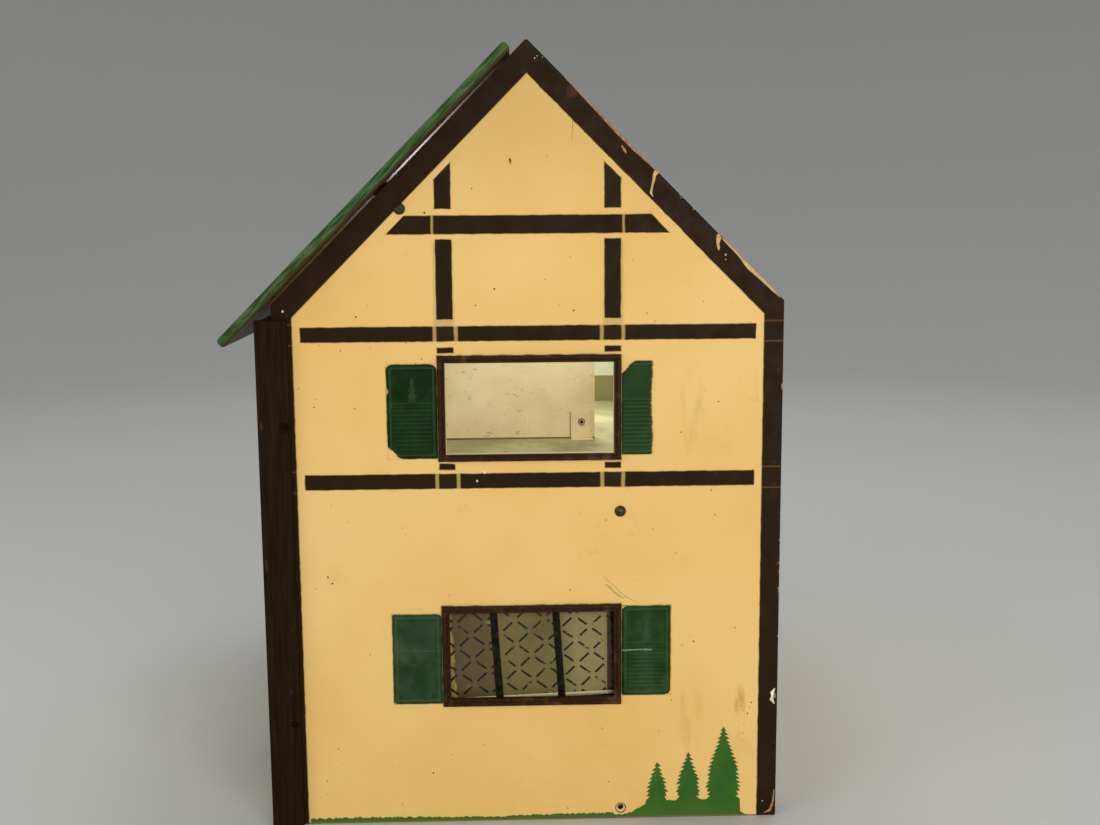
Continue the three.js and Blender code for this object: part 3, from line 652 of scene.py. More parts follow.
LEAF_CENTRE = sum(corner.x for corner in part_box("facade_leaf_right")) / 2
LEAF_LEVELS = {
    "outward": -1.0,
    "beams": [(190 * MM, 200 * MM)],
    "blocks": [(180 * MM, 186 * MM), (203.5 * MM, 207.5 * MM), (279 * MM, 283 * MM)],
}
LEAVES_WIDTH, LEAF_TOP = 0.4005, 0.2865
DOOR_LOW, DOOR_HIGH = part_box("entrance_door")
for side, sign in (("right", 1), ("left", -1)):
    opening = (DOOR_LOW.x, DOOR_HIGH.x, DOOR_HIGH.z - 4 * MM) if side == "right" else None
    name, centres = side + " leaf paint", [sign * LEAF_CENTRE]
    leaf = straight_wall(name, centres, LEAVES_WIDTH, LEAF_LEVELS, LEAF_TOP, opening)
    wear("facade_leaf_" + side, leaf, 0.5 * MM)
BACK_LEVELS = {
    "outward": 1.0,
    "beams": [(301.9 * MM, 311.5 * MM), (212.9 * MM, 222.7 * MM)],
    "blocks": [(226 * MM, 299 * MM)],
}
BACK_WIDTH, BACK_TOP = 0.3934, 0.3161
back = straight_wall("back wall paint", [-0.1, 0.1], BACK_WIDTH, BACK_LEVELS, BACK_TOP)
wear("back_wall", back, 0.4 * MM)
print("facade leaves and back wall painted")

# %% [markdown]
# The small things on the walls are new pieces: card, celluloid, mouldings and thick blobs of paint.
# Each belongs on a wall, so the easiest way to shape it is flat on a bench, with `across` to the right,
# `up` above and `out` towards the maker, and then to stand the bench up against the wall. `seat` finds
# where a node sits on its wall and returns that standing-up as a matrix, with the node's width and
# height. `piece` makes the mesh, gives it its finish and lets it ride on a body. `prism` and `grid`
# join up the points of an upright bar and of a sheet.

# %% A bench for small pieces
EAST, WEST, FRONT = Vector((1, 0, 0)), Vector((-1, 0, 0)), Vector((0, -1, 0))
UP = Vector((0, 0, 1))


def wall_place(origin, out):
    turned = Matrix((UP.cross(out), UP, out)).transposed().to_4x4()
    return Matrix.Translation(origin) @ turned


def seat(node, out):
    low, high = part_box(node)
    size = high - low
    origin = (low + high) / 2 - out * abs(size.dot(out)) / 2
    return wall_place(origin, out), abs(size.dot(UP.cross(out))), size.z


def piece(name, points, faces, finish, body, place=None, instead_of=None, smooth=False, marks=None):
    mesh = bpy.data.meshes.new(name)
    turn = place or Matrix()
    mesh.from_pydata([turn @ Vector(point) for point in points], [], faces)
    for mark, values in (marks or {}).items():
        layer = mesh.attributes.new(mark, "FLOAT", "POINT")
        layer.data.foreach_set("value", values)
    mesh.validate()
    mesh.update()
    if smooth:
        mesh.shade_smooth()
    mesh.materials.append(finish)
    made = bpy.data.objects.new(name, mesh)
    bpy.context.scene.collection.objects.link(made)
    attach(made, body)
    if instead_of:
        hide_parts(instead_of)
    return made


def prism(count, base=0):
    """Faces of an upright bar: a closed outline of count points below and the same above."""
    sides = [(k, (k + 1) % count, count + (k + 1) % count, count + k) for k in range(count)]
    ends = [tuple(reversed(range(count))), tuple(range(count, 2 * count))]
    return [tuple(base + corner for corner in face) for face in ends + sides]


def grid(rows, columns):
    """Faces of a sheet drawn row by row, and the numbers of the points round its rim."""
    wide = columns + 1
    corners = [row * wide + column for row in range(rows) for column in range(columns)]
    rim = list(range(columns)) + [row * wide + columns for row in range(rows)]
    rim += [rows * wide + column for column in range(columns, 0, -1)]
    rim += [row * wide for row in range(rows, 0, -1)]
    return [(c, c + 1, c + wide + 1, c + wide) for c in corners], rim


def marked(f, name):
    node = f.nodes.new("ShaderNodeAttribute")
    node.attribute_name = name
    return node.outputs["Fac"]


def wall_of(node):
    if node.startswith("facade"):
        return FRONT
    return EAST if "gable_right" in node else WEST


print("bench ready")

# %% [markdown]
# A window frame is a strip of moulding with its corners mitred. The profile is a short list of steps
# from the outer edge inwards: a flat face, a small groove, a lower inner ridge and the return into the
# opening. A bevelled curve could carry the same profile, but a mitre keeps square corners for free when
# every step of the profile is simply drawn as its own rectangle.

# %% Mitred window frames
MOULDING = [
    (0, 0), (0, 1.3), (0.35, 1.75), (2.3, 1.78), (2.6, 1.1), (3.0, 1.0),
    (3.3, 1.3), (4.2, 1.3), (4.6, 0.9), (4.6, -2.6), (2.6, -2.6), (2.6, 0),
]


def window_frame_finish():
    f = Finish("window frame brown")
    lines = f.grain(0.0018, 4, (1, 1, 1), 2.0)
    base = f.blend(f.step(lines, 0.3, 0.7), "#25160a", "#352010")
    groove = f.step(f.grain(0.009, 5, shift=4.0), 0.55, 0.7, 0.0, 0.6)
    base = f.blend(groove, base, "#5b3b2a")
    rubbed = f.step(f.grain(0.004, 5, shift=9.0, roughness=0.7), 0.68, 0.74, 0.0, 0.8)
    base = f.blend(rubbed, base, "#8c6a4c")
    base = f.blend(f.step(marked(f, "lip"), 0.6, 0.7), base, "#cdbb90")
    return f.coat(base, f.step(lines, 0.3, 0.7, 0.35, 0.55), f.bump(lines, 0.15 * MM))


FRAME_BROWN = window_frame_finish()


def window_frame(node):
    place, width, height = seat(node, wall_of(node))
    wobble = random.Random(node)
    points, lip = [], []
    for inset, lift in MOULDING:
        a = width / 2 - inset * MM
        b = height / 2 - inset * MM
        for sx, sy in ((-1, -1), (1, -1), (1, 1), (-1, 1)):
            slip = wobble.uniform(-0.04, 0.04) * MM if 0 < inset < 4.6 else 0
            points.append((sx * (a + slip), sy * (b + slip), lift * MM))
            lip.append({4.2: 0.35, 4.6: 1.0}.get(inset, 0.0) if "upper" in node else 0.0)
    faces = []
    for step in range(len(MOULDING)):
        here, following = 4 * step, 4 * ((step + 1) % len(MOULDING))
        for corner in range(4):
            beside = (corner + 1) % 4
            faces.append((here + corner, here + beside, following + beside, following + corner))
    name, body, marks = "moulded_" + node, BODY_OF[node], {"lip": lip}
    made = piece(name, points, faces, FRAME_BROWN, body, place, node, marks=marks)
    bevel = made.modifiers.new("soft arris", "BEVEL")
    bevel.width = 0.12 * MM
    bevel.segments = 2
    return made


frames = [window_frame(node) for node in sorted(NODES) if node.endswith("_frame")]
print(len(frames), "window frames moulded")

# %% [markdown]
# The shutters are pressed card: a rounded border, a little fir tree in the upper panel and a bank of
# louvres below, all struck in one blow. On the camera's gable every one has suffered differently. A
# shutter is drawn as rows of points from its left edge to its right edge, so a torn corner or a ragged
# side is only a rule for where a row begins or ends. The relief is the height of each point.

# %% Shapes of the pressed shutters
CARD = 0.45 * MM
RELIEF = 0.6 * MM


def shutter_shape(corners, torn=None, ragged=False, fir=1.0, louvres=1.0):
    return {"corners": corners, "torn": torn, "ragged": ragged, "fir": fir, "louvres": louvres}


SHUTTER_SHAPES = {
    "whole": shutter_shape((1.2, 1.2, 1.2, 1.2)),
    "torn low": shutter_shape((3.2, 3.8, 0.8, 1.0), torn="low", louvres=0.8),
    "broken": shutter_shape((0.5, 1.2, 1.0, 0.6), torn="high", ragged=True, fir=0.35),
    "plain": shutter_shape((0.8, 2.4, 0.8, 2.6), fir=0.0, louvres=0.12),
    "scratched": shutter_shape((3.6, 0.8, 3.4, 0.8), louvres=0.75),
}


def rounded(distance, radius):
    if radius <= 0 or distance >= radius:
        return 0.0
    return radius - math.sqrt(max(radius**2 - (radius - distance) ** 2, 0))


def ripple(t, seed):
    waves = random.Random(seed)
    return sum(math.sin(t * waves.uniform(0.35, 2.6) + waves.uniform(0, 6)) for _ in range(5)) / 3


def row_ends(shape, v, width, height):
    """Where a row of a shutter starts and ends, in millimetres, and how bare each end is."""
    top_left, top_right, low_right, low_left = shape["corners"]
    from_top, from_foot = height / 2 - v, v + height / 2
    left = -width / 2 + max(rounded(from_top, top_left), rounded(from_foot, low_left))
    right = width / 2 - max(rounded(from_top, top_right), rounded(from_foot, low_right))
    bare_left = bare_right = 0.0
    if shape["torn"] == "low":
        torn = 7.6 - from_foot * 1.02 + 0.55 * ripple(from_foot * 1.6, 3)
        nick = 0.9 * math.exp(-(((v - 12.5) / 1.6) ** 2))
        bare_left = 1.0 if torn > 0 or nick > 0.3 else 0.0
        left += max(torn, 0) + nick
    if shape["torn"] == "high":
        torn = 7.2 - from_top * 0.95 + 0.5 * ripple(from_top * 1.7, 4)
        bare_left = 1.0 if torn > 0 else 0.0
        left += max(torn, 0)
    if shape["ragged"]:
        bay = 0.75 + 0.4 * math.sin((v + 6) * 0.14) + 0.28 * ripple(v, 8)
        right -= max(bay, 0.05)
        bare_right = 1.0
    return left, right, bare_left, bare_right


def fir_spread(t):
    """Half width of the pressed fir, t from its tip (0) to its foot (1)."""
    tier = (t * 3.4) % 1.0
    return (0.25 + 0.75 * t) * (0.55 + 0.45 * tier)


def relief(u, v, shape, width, height):
    edge = min(u + width / 2, width / 2 - u, v + height / 2, height / 2 - v)
    border = math.exp(-(((edge - 2.1) / 0.75) ** 2))
    rail = math.exp(-(((v - height * 0.09) / 0.7) ** 2)) if edge > 2.5 else 0
    pressed = max(border, rail * 0.7)
    if edge > 3.4 and v < height * 0.06:
        pressed = max(pressed, shape["louvres"] * (0.5 + 0.5 * math.sin(v * 2 * math.pi / 2.6)) * 0.75)
    t = (height * 0.37 - v) / 15
    if 0 < t < 1 and abs(u) < 3.6 * fir_spread(t):
        pressed = max(pressed, 0.7 * shape["fir"])
    return pressed


print("shutter shapes:", ", ".join(SHUTTER_SHAPES))

# %% [markdown]
# The green on the shutters is thin and dusty. Each has its own depth of green, from bottle green at the
# upper left to a greyer one below, and the broken edges show brown board. How bare a point is was
# worked out with its shape, and the finish reads that mark from the mesh.

# %% Make the shutters
def shutter_finish(name, deep, pale, dust, scratch=False):
    f = Finish(name)
    base = f.blend(f.step(f.grain(0.012, 4, shift=2.0), 0.35, 0.68), deep, pale)
    powder = f.step(f.grain(0.02, 6, shift=6.0, roughness=0.7), 0.48, 0.8, 0.0, dust)
    base = f.blend(powder, base, "#566348")
    nibs = f.dots(0.005, 2.0, (0.08, 0.14), 0.01, (0.52, 0.58))
    base = f.blend(f.both(nibs, 0.7), base, "#152413")
    # the raised pressing is lightened: partly painted highlight on the ridges, partly rubbed wear
    base = f.blend(f.step(marked(f, "raised"), 0.3, 0.8, 0.0, 0.14), base, "#5d7a4c")
    across, up = marked(f, "across"), marked(f, "up")
    if scratch:
        wander = f.sway(f.grain(0.01, 3), 1.6)
        line = f.strip(f.plus(up, wander), 0.3, 1.0, 0.25)
        line = f.both(line, f.fade(across, 2.5, 4.5), f.step(f.grain(0.002, 3), 0.3, 0.5))
        base = f.blend(f.both(line, 0.75), base, "#8fa285")
    fray = f.plus(marked(f, "bare"), f.sway(f.grain(0.0015, 3), 0.7))
    board = f.blend(f.grain(0.002, 3), "#6a4a22", "#a07a48")
    base = f.blend(f.step(fray, 0.45, 0.6), base, board)
    return f.coat(base, satin(f, 0.42, 0.62), f.bump(f.grain(0.0012, 3), 0.07 * MM))


SHUTTER_GREENS = {
    "whole": shutter_finish("shutter green", "#183a13", "#264a20", 0.2),
    "torn low": shutter_finish("shutter deep green", "#0a2408", "#14300f", 0.1),
    "broken": shutter_finish("shutter mid green", "#1b3516", "#233d1d", 0.1),
    "plain": shutter_finish("shutter dusty green", "#1d371a", "#2c402b", 0.4),
    "scratched": shutter_finish("shutter leaf green", "#163212", "#28421f", 0.22, scratch=True),
}
ROWS, COLUMNS = 110, 40


def shutter(node):
    kind = WORN_SHUTTERS.get(node, "whole")
    shape = SHUTTER_SHAPES[kind]
    place, width, height = seat(node, wall_of(node))
    wide, tall = width / MM, height / MM
    points, bare, raised = [], [], []
    for row in range(ROWS + 1):
        v = -tall / 2 + tall * row / ROWS
        left, right, bare_left, bare_right = row_ends(shape, v, wide, tall)
        for column in range(COLUMNS + 1):
            share = column / COLUMNS
            u = left + (right - left) * share
            lift = relief(u, v, shape, 30 if kind == "broken" else wide, tall)
            rim = min(u - left, right - u, v + tall / 2, tall / 2 - v)
            roll = min(max(rim, 0) / 0.5, 1.0) ** 0.5
            points.append((u * MM, v * MM, (CARD + RELIEF * lift) * (0.55 + 0.45 * roll)))
            bare.append(max(bare_left * (1 - (u - left) / 0.9), bare_right * (1 - (right - u) / 1.5), 0))
            raised.append(lift)
    front = len(points)
    faces, ring = grid(ROWS, COLUMNS)
    points += [(points[i][0], points[i][1], 0.0) for i in ring]
    bare += [bare[i] for i in ring]
    raised += [0.0 for _ in ring]
    count = len(ring)
    for k in range(count):
        beside = (k + 1) % count
        faces.append((ring[beside], ring[k], front + k, front + beside))
    faces.append(tuple(front + k for k in reversed(range(count))))
    across, up = ([point[axis] / MM for point in points] for axis in (0, 1))
    marks = {"bare": bare, "raised": raised, "across": across, "up": up}
    name, finish, body = "pressed_" + node, SHUTTER_GREENS[kind], BODY_OF[node]
    return piece(name, points, faces, finish, body, place, node, True, marks)


shutters = [shutter(node) for node in sorted(NODES) if "_shutter_" in node]
print(len(shutters), "shutters pressed")

# %% [markdown]
# The lower windows are glazed with a sheet of olive celluloid, printed with a diamond lattice of short
# dashes and crossed by two black glazing bars. The sheet is slightly bowed because it is tacked only at
# its edges, and it was fitted a little out of square. The dashes are printed, so they are colour and
# not relief: two families of slanting lines that fade out where they would cross.

# %% Printed celluloid
PITCH_ACROSS, PITCH_UP = 18.4, 15.6
LEAN = math.radians(3.6)


def celluloid_finish():
    f = Finish("olive celluloid", 0.3, shine=0.3)
    across, up = marked(f, "across"), marked(f, "up")
    s = f.calc("DIVIDE", across, PITCH_ACROSS)
    t = f.calc("DIVIDE", f.plus(up, 2.2), PITCH_UP)
    rising = f.plus(f.minus(t, s), 20.0)
    falling = f.plus(f.plus(t, s), 20.0)

    def middle_distance(value):
        return f.away(f.calc("FRACT", f.plus(value, 0.5)), 0.5)

    def dash(line, along):
        thin = f.fade(middle_distance(line), 0.05, 0.066)
        gap = f.step(middle_distance(along), 0.16, 0.2)
        return f.both(thin, gap)

    printed = f.most(dash(rising, falling), dash(falling, rising))
    missing = f.step(f.grain(0.004, 3, shift=3.0), 0.36, 0.42)
    printed = f.both(printed, missing)
    clouds = f.grain(0.03, 4, shift=1.0)
    base = f.blend(f.step(clouds, 0.3, 0.7), "#5d5126", "#6b5f33")
    # painted reflection: the pane turns lighter towards its right side
    base = f.blend(f.step(across, 14, 30), base, "#83774a")
    base = f.blend(f.fade(across, -24, -20), base, "#554826")
    ragged = f.plus(across, f.sway(f.grain(0.006, 4, shift=2.0), 7.0))
    base = f.blend(f.fade(ragged, -49.5, -48.0, 0.8), base, "#a08a48")
    frame_side = f.minus(across, f.both(up, math.tan(LEAN)))
    base = f.blend(f.step(frame_side, 46.7, 47.1), base, "#3a2418")
    frame_foot = f.plus(up, f.both(across, math.tan(LEAN)))
    slipped = f.minus(frame_foot, f.both(f.minus(across, 10.0), 0.036))
    # pale noise patches, heaviest on the left part of the pane
    pale_patches = f.step(f.grain(0.008, 6, shift=7.0, roughness=0.7), 0.6, 0.7)
    pale_patches = f.both(pale_patches, f.step(across, -24, -18, 0.6, 0.12))
    base = f.blend(pale_patches, base, "#b3a05f")
    base = f.blend(printed, base, "#0c0805")
    base = f.blend(f.fade(slipped, -27.3, -27.0), base, "#d8cfa0")
    haze = f.step(f.grain(0.02, 3, shift=5.0), 0.3, 0.7, 0.22, 0.4)
    f.shader.inputs["Coat Weight"].default_value = 0.15
    return f.coat(base, haze, f.bump(f.grain(0.035, 2, shift=4.0), 0.6 * MM))


CELLULOID = celluloid_finish()


def bar_finish():
    f = Finish("black glazing bars", 0.4)
    tone = f.blend(f.step(f.grain(0.004, 4), 0.4, 0.7), "#0d0b07", "#241d12")
    return f.coat(tone, satin(f, 0.3, 0.5), f.bump(f.grain(0.002, 3), 0.1 * MM))


BAR_BLACK = bar_finish()


def lattice(node):
    place, width, height = seat(node, wall_of(node))
    place = place @ Matrix.Rotation(LEAN, 4, "Z")
    half_a, half_b = 53.5, 31.0
    columns, rows = 27, 16
    points, across, up = [], [], []
    for layer in (1, 0):
        for row in range(rows + 1):
            for column in range(columns + 1):
                a = -half_a + 2 * half_a * column / columns
                b = -half_b + 2 * half_b * row / rows
                bow = 0.26 * math.cos(a / half_a * 1.5) * math.cos(b / half_b * 1.5)
                ruck = 0.04 * math.sin(a * 0.21 + b * 0.1)
                points.append((a * MM, b * MM, (0.12 + bow + ruck + 0.16 * layer) * MM))
                across.append(a)
                up.append(b)
    sheet = (rows + 1) * (columns + 1)
    faces, ring = grid(rows, columns)
    faces += [tuple(sheet + corner for corner in reversed(face)) for face in faces]
    for k, i in enumerate(ring):
        j = ring[(k + 1) % len(ring)]
        faces.append((j, i, sheet + i, sheet + j))
    marks = {"across": across, "up": up}
    body = BODY_OF[node]
    made = [piece("printed_" + node, points, faces, CELLULOID, body, place, node, True, marks)]
    for number, (centre, half) in enumerate(((-22.0, 2.3), (16.6, 2.2))):
        waver = random.Random(node + str(number))
        outline = []
        for k in range(13):
            b = -half_b + 2 * half_b * k / 12
            low, high = (centre + edge + waver.uniform(-0.12, 0.12) for edge in (-half, half))
            outline.append((low, high, b))
        bar_points = []
        for lift in (0.44, 0.8):
            bar_points += [(a * MM, b * MM, lift * MM) for low, high, b in outline for a in (low, high)]
        base = 26
        bar_faces = [(0, 1, base + 1, base), (24, base + 24, base + 25, 25)]
        for k in range(12):
            i = 2 * k
            bar_faces.append((base + i, base + i + 1, base + i + 3, base + i + 2))
            bar_faces.append((i, i + 2, i + 3, i + 1))
            bar_faces.append((i, base + i, base + i + 2, i + 2))
            bar_faces.append((i + 1, i + 3, base + i + 3, base + i + 1))
        name = f"glazing_bar_{number + 1}_{node}"
        made.append(piece(name, bar_points, bar_faces, BAR_BLACK, body, place))
    return made


lattices = [lattice(node) for node in sorted(NODES) if node.endswith("_lattice")]
print(len(lattices), "lattice windows glazed")

# %% [markdown]
# Along the foot of the walls runs a strip of grass, and at the back corner it rises into a mound with
# three fir trees. It was rolled through a cut stencil, so its outline is crisp and its teeth are sharp.
# A sheet of paint a tenth of a millimetre thick, cut to that outline, catches its own thin edge of
# light, which a painted-on colour can't do.

# %% Grass and firs
def stencil_green_finish():
    f = Finish("stencil green")
    base = f.blend(f.step(f.grain(0.02, 4, shift=3.0), 0.3, 0.7), "#3c6420", "#2f5a22")
    base = f.blend(f.fade(f.z, 0.0, 16 * MM, 0.5), base, "#4a6a2a")
    pin = f.dots(0.006, 5.0, (0.05, 0.09), 0.01, (0.55, 0.62))
    base = f.blend(f.both(pin, 0.6), base, "#a8a86a")
    return f.coat(base, satin(f, 0.4, 0.6), f.bump(f.grain(0.002, 3), 0.06 * MM))


STENCIL_GREEN = stencil_green_finish()
FIRS = ((77.6, 36.5, 12.5), (97.3, 42.8, 14.5), (119.3, 59.0, 21.0))
FIR_PROFILE = (
    (0, 0.03), (0.13, 0.2), (0.28, 0.42), (0.4, 0.6), (0.52, 0.82),
    (0.7, 0.86), (0.83, 1.0), (0.92, 0.84), (1, 0.88),
)


def along(profile, t):
    for (t0, w0), (t1, w1) in zip(profile, profile[1:]):
        if t <= t1:
            return w0 + (w1 - w0) * (t - t0) / (t1 - t0)
    return profile[-1][1]


def ground(a, rng):
    if a < 61:
        level = 3.1 + 0.5 * math.sin(a * 0.045)
    elif a < 121:
        level = 3.6 + 7.6 * min((a - 61) / 13, 1.0)
    else:
        level = 11.2 - 10.6 * min((a - 121) / 12, 1.0) ** 1.1
    if abs(a - 54.7) < 4.5:
        level = 2.6
    return max(level + rng.uniform(-0.55, 0.65), 1.0)


def fir_side(centre, tip, width, foot, side, rng):
    """Points down one side of a fir, from its tip to the mound, in serrated steps."""
    points = []
    steps = max(8, round((tip - foot) / 2.7))
    for k in range(1, steps + 1):
        t = k / steps
        half = width / 2 * along(FIR_PROFILE, t)
        b = tip - (tip - foot) * t
        points.append((centre + side * (half + rng.uniform(0.5, 1.5)), b + rng.uniform(-0.3, 0.3)))
        if k < steps:
            points.append((centre + side * max(half - rng.uniform(0.6, 1.4), 0.3), b - rng.uniform(0.1, 0.5)))
    return points


def skyline(start, end, firs, seed):
    rng = random.Random(seed)
    outline = []
    a = start
    waiting = list(firs)
    while a < end:
        if waiting and a > waiting[0][0] - waiting[0][2] * 0.42:
            centre, tip, width = waiting.pop(0)
            foot = 11.4
            climb = fir_side(centre, tip, width, foot, -1, rng)[::-1]
            while outline and outline[-1][0] > climb[0][0] - 0.3:
                outline.pop()
            outline += climb + [(centre, tip)] + fir_side(centre, tip, width, foot, 1, rng)
            a = outline[-1][0] + 0.4
        else:
            outline.append((a, ground(a, rng)))
            a += rng.uniform(0.7, 1.4)
    outline.append((end, 1.0))
    return outline


def stencilled(name, outline, place, body, foot=0.8, thick=0.12):
    """A sheet of paint between the foot line and an outline that runs from left to right."""
    start, end = outline[0][0], outline[-1][0]
    loop = [(start, foot)] + [(a, max(b, foot + 0.1)) for a, b in outline] + [(end + 0.3, foot)]
    points = [(a * MM, b * MM, lift * MM) for lift in (thick, 0.0) for a, b in loop]
    piece(name, points, prism(len(loop)), STENCIL_GREEN, body, place)


foot_of_gable = Vector((FACE, MIDDLE, 0))
stencilled("grass_and_firs_right", skyline(-139.5, 134.5, FIRS, 5), wall_place(foot_of_gable, EAST), "house")
foot_of_gable.x = -FACE
turned_over = [(-a, b) for a, b in reversed(skyline(-139.5, 134.5, FIRS, 6))]
stencilled("grass_and_firs_left", turned_over, wall_place(foot_of_gable, WEST), "house")
print("grass and firs stencilled")

# %% [markdown]
# On the facade a lower strip of the same grass runs along the foot of each leaf, and on the right-hand
# one it ends just past the entrance door. It starts at the leaf's own foot, a little above the ground.

# %% Grass on the facade
LEAF_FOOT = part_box("facade_leaf_left")[0].z
LEFT_GRASS = skyline(-97.0, 40.0, (), 8)[:-1] + [(a + 0.3, b) for a, b in skyline(41.0, 97.0, (), 9)]
RIGHT_GRASS = skyline(-97.0, 45.0, (), 10)
for side, sign, line in (("left", -1, LEFT_GRASS), ("right", 1, RIGHT_GRASS)):
    place = wall_place(Vector((sign * LEAF_CENTRE, LEAF_FRONT, LEAF_FOOT)), FRONT)
    rng = random.Random(side)
    line = [(a, min(b, 4.6 + rng.uniform(-0.4, 0.5))) for a, b in line]
    stencilled("grass_leaf_" + side, line, place, "facade_" + side)
print("facade grass stencilled")

# %% [markdown]
# Thick paint leaves marks that stand up: cream drips that ran over the brown slope, white splashes,
# chips with a pale rim, and lumps under the brown of the corner stile. All are the same small thing, a
# ribbon with a domed section that narrows to nothing at both ends, so one helper draws them all.

# %% Daubs, drips and chips
def daub_finish(name, light, dark, roughness=0.45):
    f = Finish(name, roughness)
    base = f.blend(f.step(f.grain(0.003, 4), 0.35, 0.7), light, dark)
    return f.coat(base, satin(f, roughness - 0.1, roughness + 0.15), f.bump(f.grain(0.001, 3), 0.05 * MM))


DAUBS = {
    "cream": daub_finish("cream drip", "#d9b27a", "#b88f5e"),
    "white": daub_finish("white splash", "#f1ead2", "#cfc4a2"),
    "bare": daub_finish("bare chip", "#b58a62", "#8a5a3e", 0.7),
    "brown": daub_finish("brown lump", "#2f1e0d", "#4a3420", 0.4),
    "dark": daub_finish("dark speck", "#3a2a16", "#5a4020", 0.6),
    "green": daub_finish("green smear", "#a69c52", "#bfae66", 0.6),
    "stain": daub_finish("yellow-brown stain", "#a07c2c", "#7a5c1e", 0.6),
}
SECTION = ((-1.0, 0.0), (-0.72, 0.7), (0.0, 1.0), (0.72, 0.7), (1.0, 0.0))


def daub(name, path, widths, lift, paint, place):
    """A domed ribbon of paint along a path, all in millimetres on the bench."""
    points, faces = [], []
    last = len(path) - 1
    for k, ((a, b), width) in enumerate(zip(path, widths)):
        before, after = path[max(k - 1, 0)], path[min(k + 1, last)]
        run = Vector((after[0] - before[0], after[1] - before[1]))
        run = run.normalized() if run.length > 0 else Vector((0, 1))
        side = Vector((run.y, -run.x)) * max(width, 0.08) / 2
        crown = lift * min(1.0, max(width, 0.08) / max(widths) * 1.4)
        points += [((a + side.x * s) * MM, (b + side.y * s) * MM, crown * h * MM) for s, h in SECTION]
    ring = len(SECTION)
    for k in range(last):
        for j in range(ring):
            beside = (j + 1) % ring
            i, n = k * ring, (k + 1) * ring
            faces.append((i + j, i + beside, n + beside, n + j))
    faces.append(tuple(reversed(range(ring))))
    faces.append(tuple(last * ring + j for j in range(ring)))
    piece(name, points, faces, DAUBS[paint], "house", place, smooth=True)


def round_daub(name, at, size, lift, paint):
    rng = random.Random(name + "0")
    shares = [k / 8 for k in range(9)]
    path = [(at[0] + rng.uniform(-0.05, 0.05) * size, at[1] - size / 2 + size * share) for share in shares]
    bulge = [math.sin(math.pi * (0.06 + 0.88 * share)) for share in shares]
    widths = [size * round_here * rng.uniform(0.82, 1.0) for round_here in bulge]
    daub(name, path, widths, lift, paint, GABLE_WALL)


GABLE_WALL = wall_place(Vector((FACE, MIDDLE, 0)), EAST)
GABLE_MARKS = {
    "drip_upper": (
        "cream", 0.5,
        [(76.0, 401.4), (74.6, 399.0), (74.0, 395.4), (73.1, 391.7), (72.5, 388.8), (73.8, 386.4)],
        [3.4, 2.3, 1.5, 1.3, 1.6, 0.6],
    ),
    "drip_lower": (
        "cream", 0.45,
        [(112.4, 364.4), (112.9, 362.2), (112.3, 359.0), (112.8, 356.6), (113.0, 354.8)],
        [1.4, 3.4, 1.9, 2.0, 0.6],
    ),
    "bare_slope_high": (
        "bare", 0.3,
        [(22, 455.3), (33, 444.0), (42.9, 433.8), (50.3, 426.0)]
        + [(57.8, 418.5), (62.8, 413.6), (70.3, 406.6), (75.0, 402.2)],
        [0.2, 0.7, 1.0, 1.7, 1.7, 1.5, 0.8, 0.5],
    ),
    "bare_slope_low": (
        "cream", 0.3,
        [(114.6, 362.1), (119.0, 357.9), (124.7, 352.0), (131.0, 344.6)]
        + [(137.6, 338.6), (146.4, 330.2), (150.2, 326.6)],
        [0.4, 1.2, 1.1, 2.7, 1.9, 1.3, 0.3],
    ),
    "chip_high": ("bare", 0.3, [(55.3, 416.2), (56.8, 413.9), (58.0, 411.5)], [0.7, 1.9, 0.6]),
    "chip_back_edge": (
        "white", 0.45,
        [(150.9, 83.5), (149.3, 80.6), (149.5, 78.4), (149.0, 76.4), (150.8, 73.5)],
        [0.8, 2.6, 1.7, 2.7, 0.7],
    ),
    "chip_back_edge_core": ("bare", 0.6, [(151.2, 80.6), (150.9, 78.6), (151.3, 77.0)], [0.5, 1.3, 0.5]),
    "chip_corner": (
        "bare", 0.22,
        [(151.6, 17.0), (151.0, 9.0), (149.2, 3.4), (145.0, 1.4)],
        [0.5, 1.5, 1.9, 0.7],
    ),
    "scratch_high": ("dark", 0.05, [(26.8, 432.0), (26.5, 426.2), (26.0, 419.2)], [0.25, 0.22, 0.12]),
    "fly_spot": ("dark", 0.15, [(-10.4, 409.6), (-10.0, 408.2), (-9.9, 405.8)], [0.4, 1.4, 0.3]),
}
for name, (paint, lift, path, widths) in GABLE_MARKS.items():
    daub(name, path, widths, lift, paint, GABLE_WALL)
SPLASHES = (
    (-32.2, 217.4, 1.5), (-27.6, 222.6, 1.9), (-145.6, 321.0, 1.6), (144.2, 9.6, 0.7), (106.0, 20.0, 1.0),
    (4.8, 466.1, 0.9), (6.3, 467.4, 0.7), (9.4, 466.8, 0.6), (117.1, 352.2, 1.1), (117.2, 349.4, 0.8),
)
STAINS = (
    (136.3, 74.5, 1.4), (135.3, 71.2, 0.9), (134.1, 67.4, 1.2), (131.9, 61.0, 0.7), (131.3, 54.4, 1.0),
    (130.8, 50.2, 0.6), (130.1, 72.4, 0.8), (131.6, 69.4, 0.6),
)
for kind, lift, paint, spots in (("splash", 0.3, "white", SPLASHES), ("stain", 0.1, "stain", STAINS)):
    for number, (a, b, size) in enumerate(spots):
        round_daub(f"{kind}_{number + 1}", (a, b), size, lift, paint)
STREAKS = (
    (
        [(44, 157.4), (47, 154.2), (50.5, 151.2), (55, 146.0), (60, 142.6), (66, 140.0)],
        [0.2, 0.5, 0.35, 0.6, 0.4, 0.2],
    ),
    ([(45, 152.0), (47.5, 150.4), (50.5, 147.4), (54.5, 144.4)], [0.5, 1.1, 0.7, 0.3]),
    ([(50, 147.0), (54, 144.0), (57, 143.0)], [0.3, 0.9, 0.2]),
)
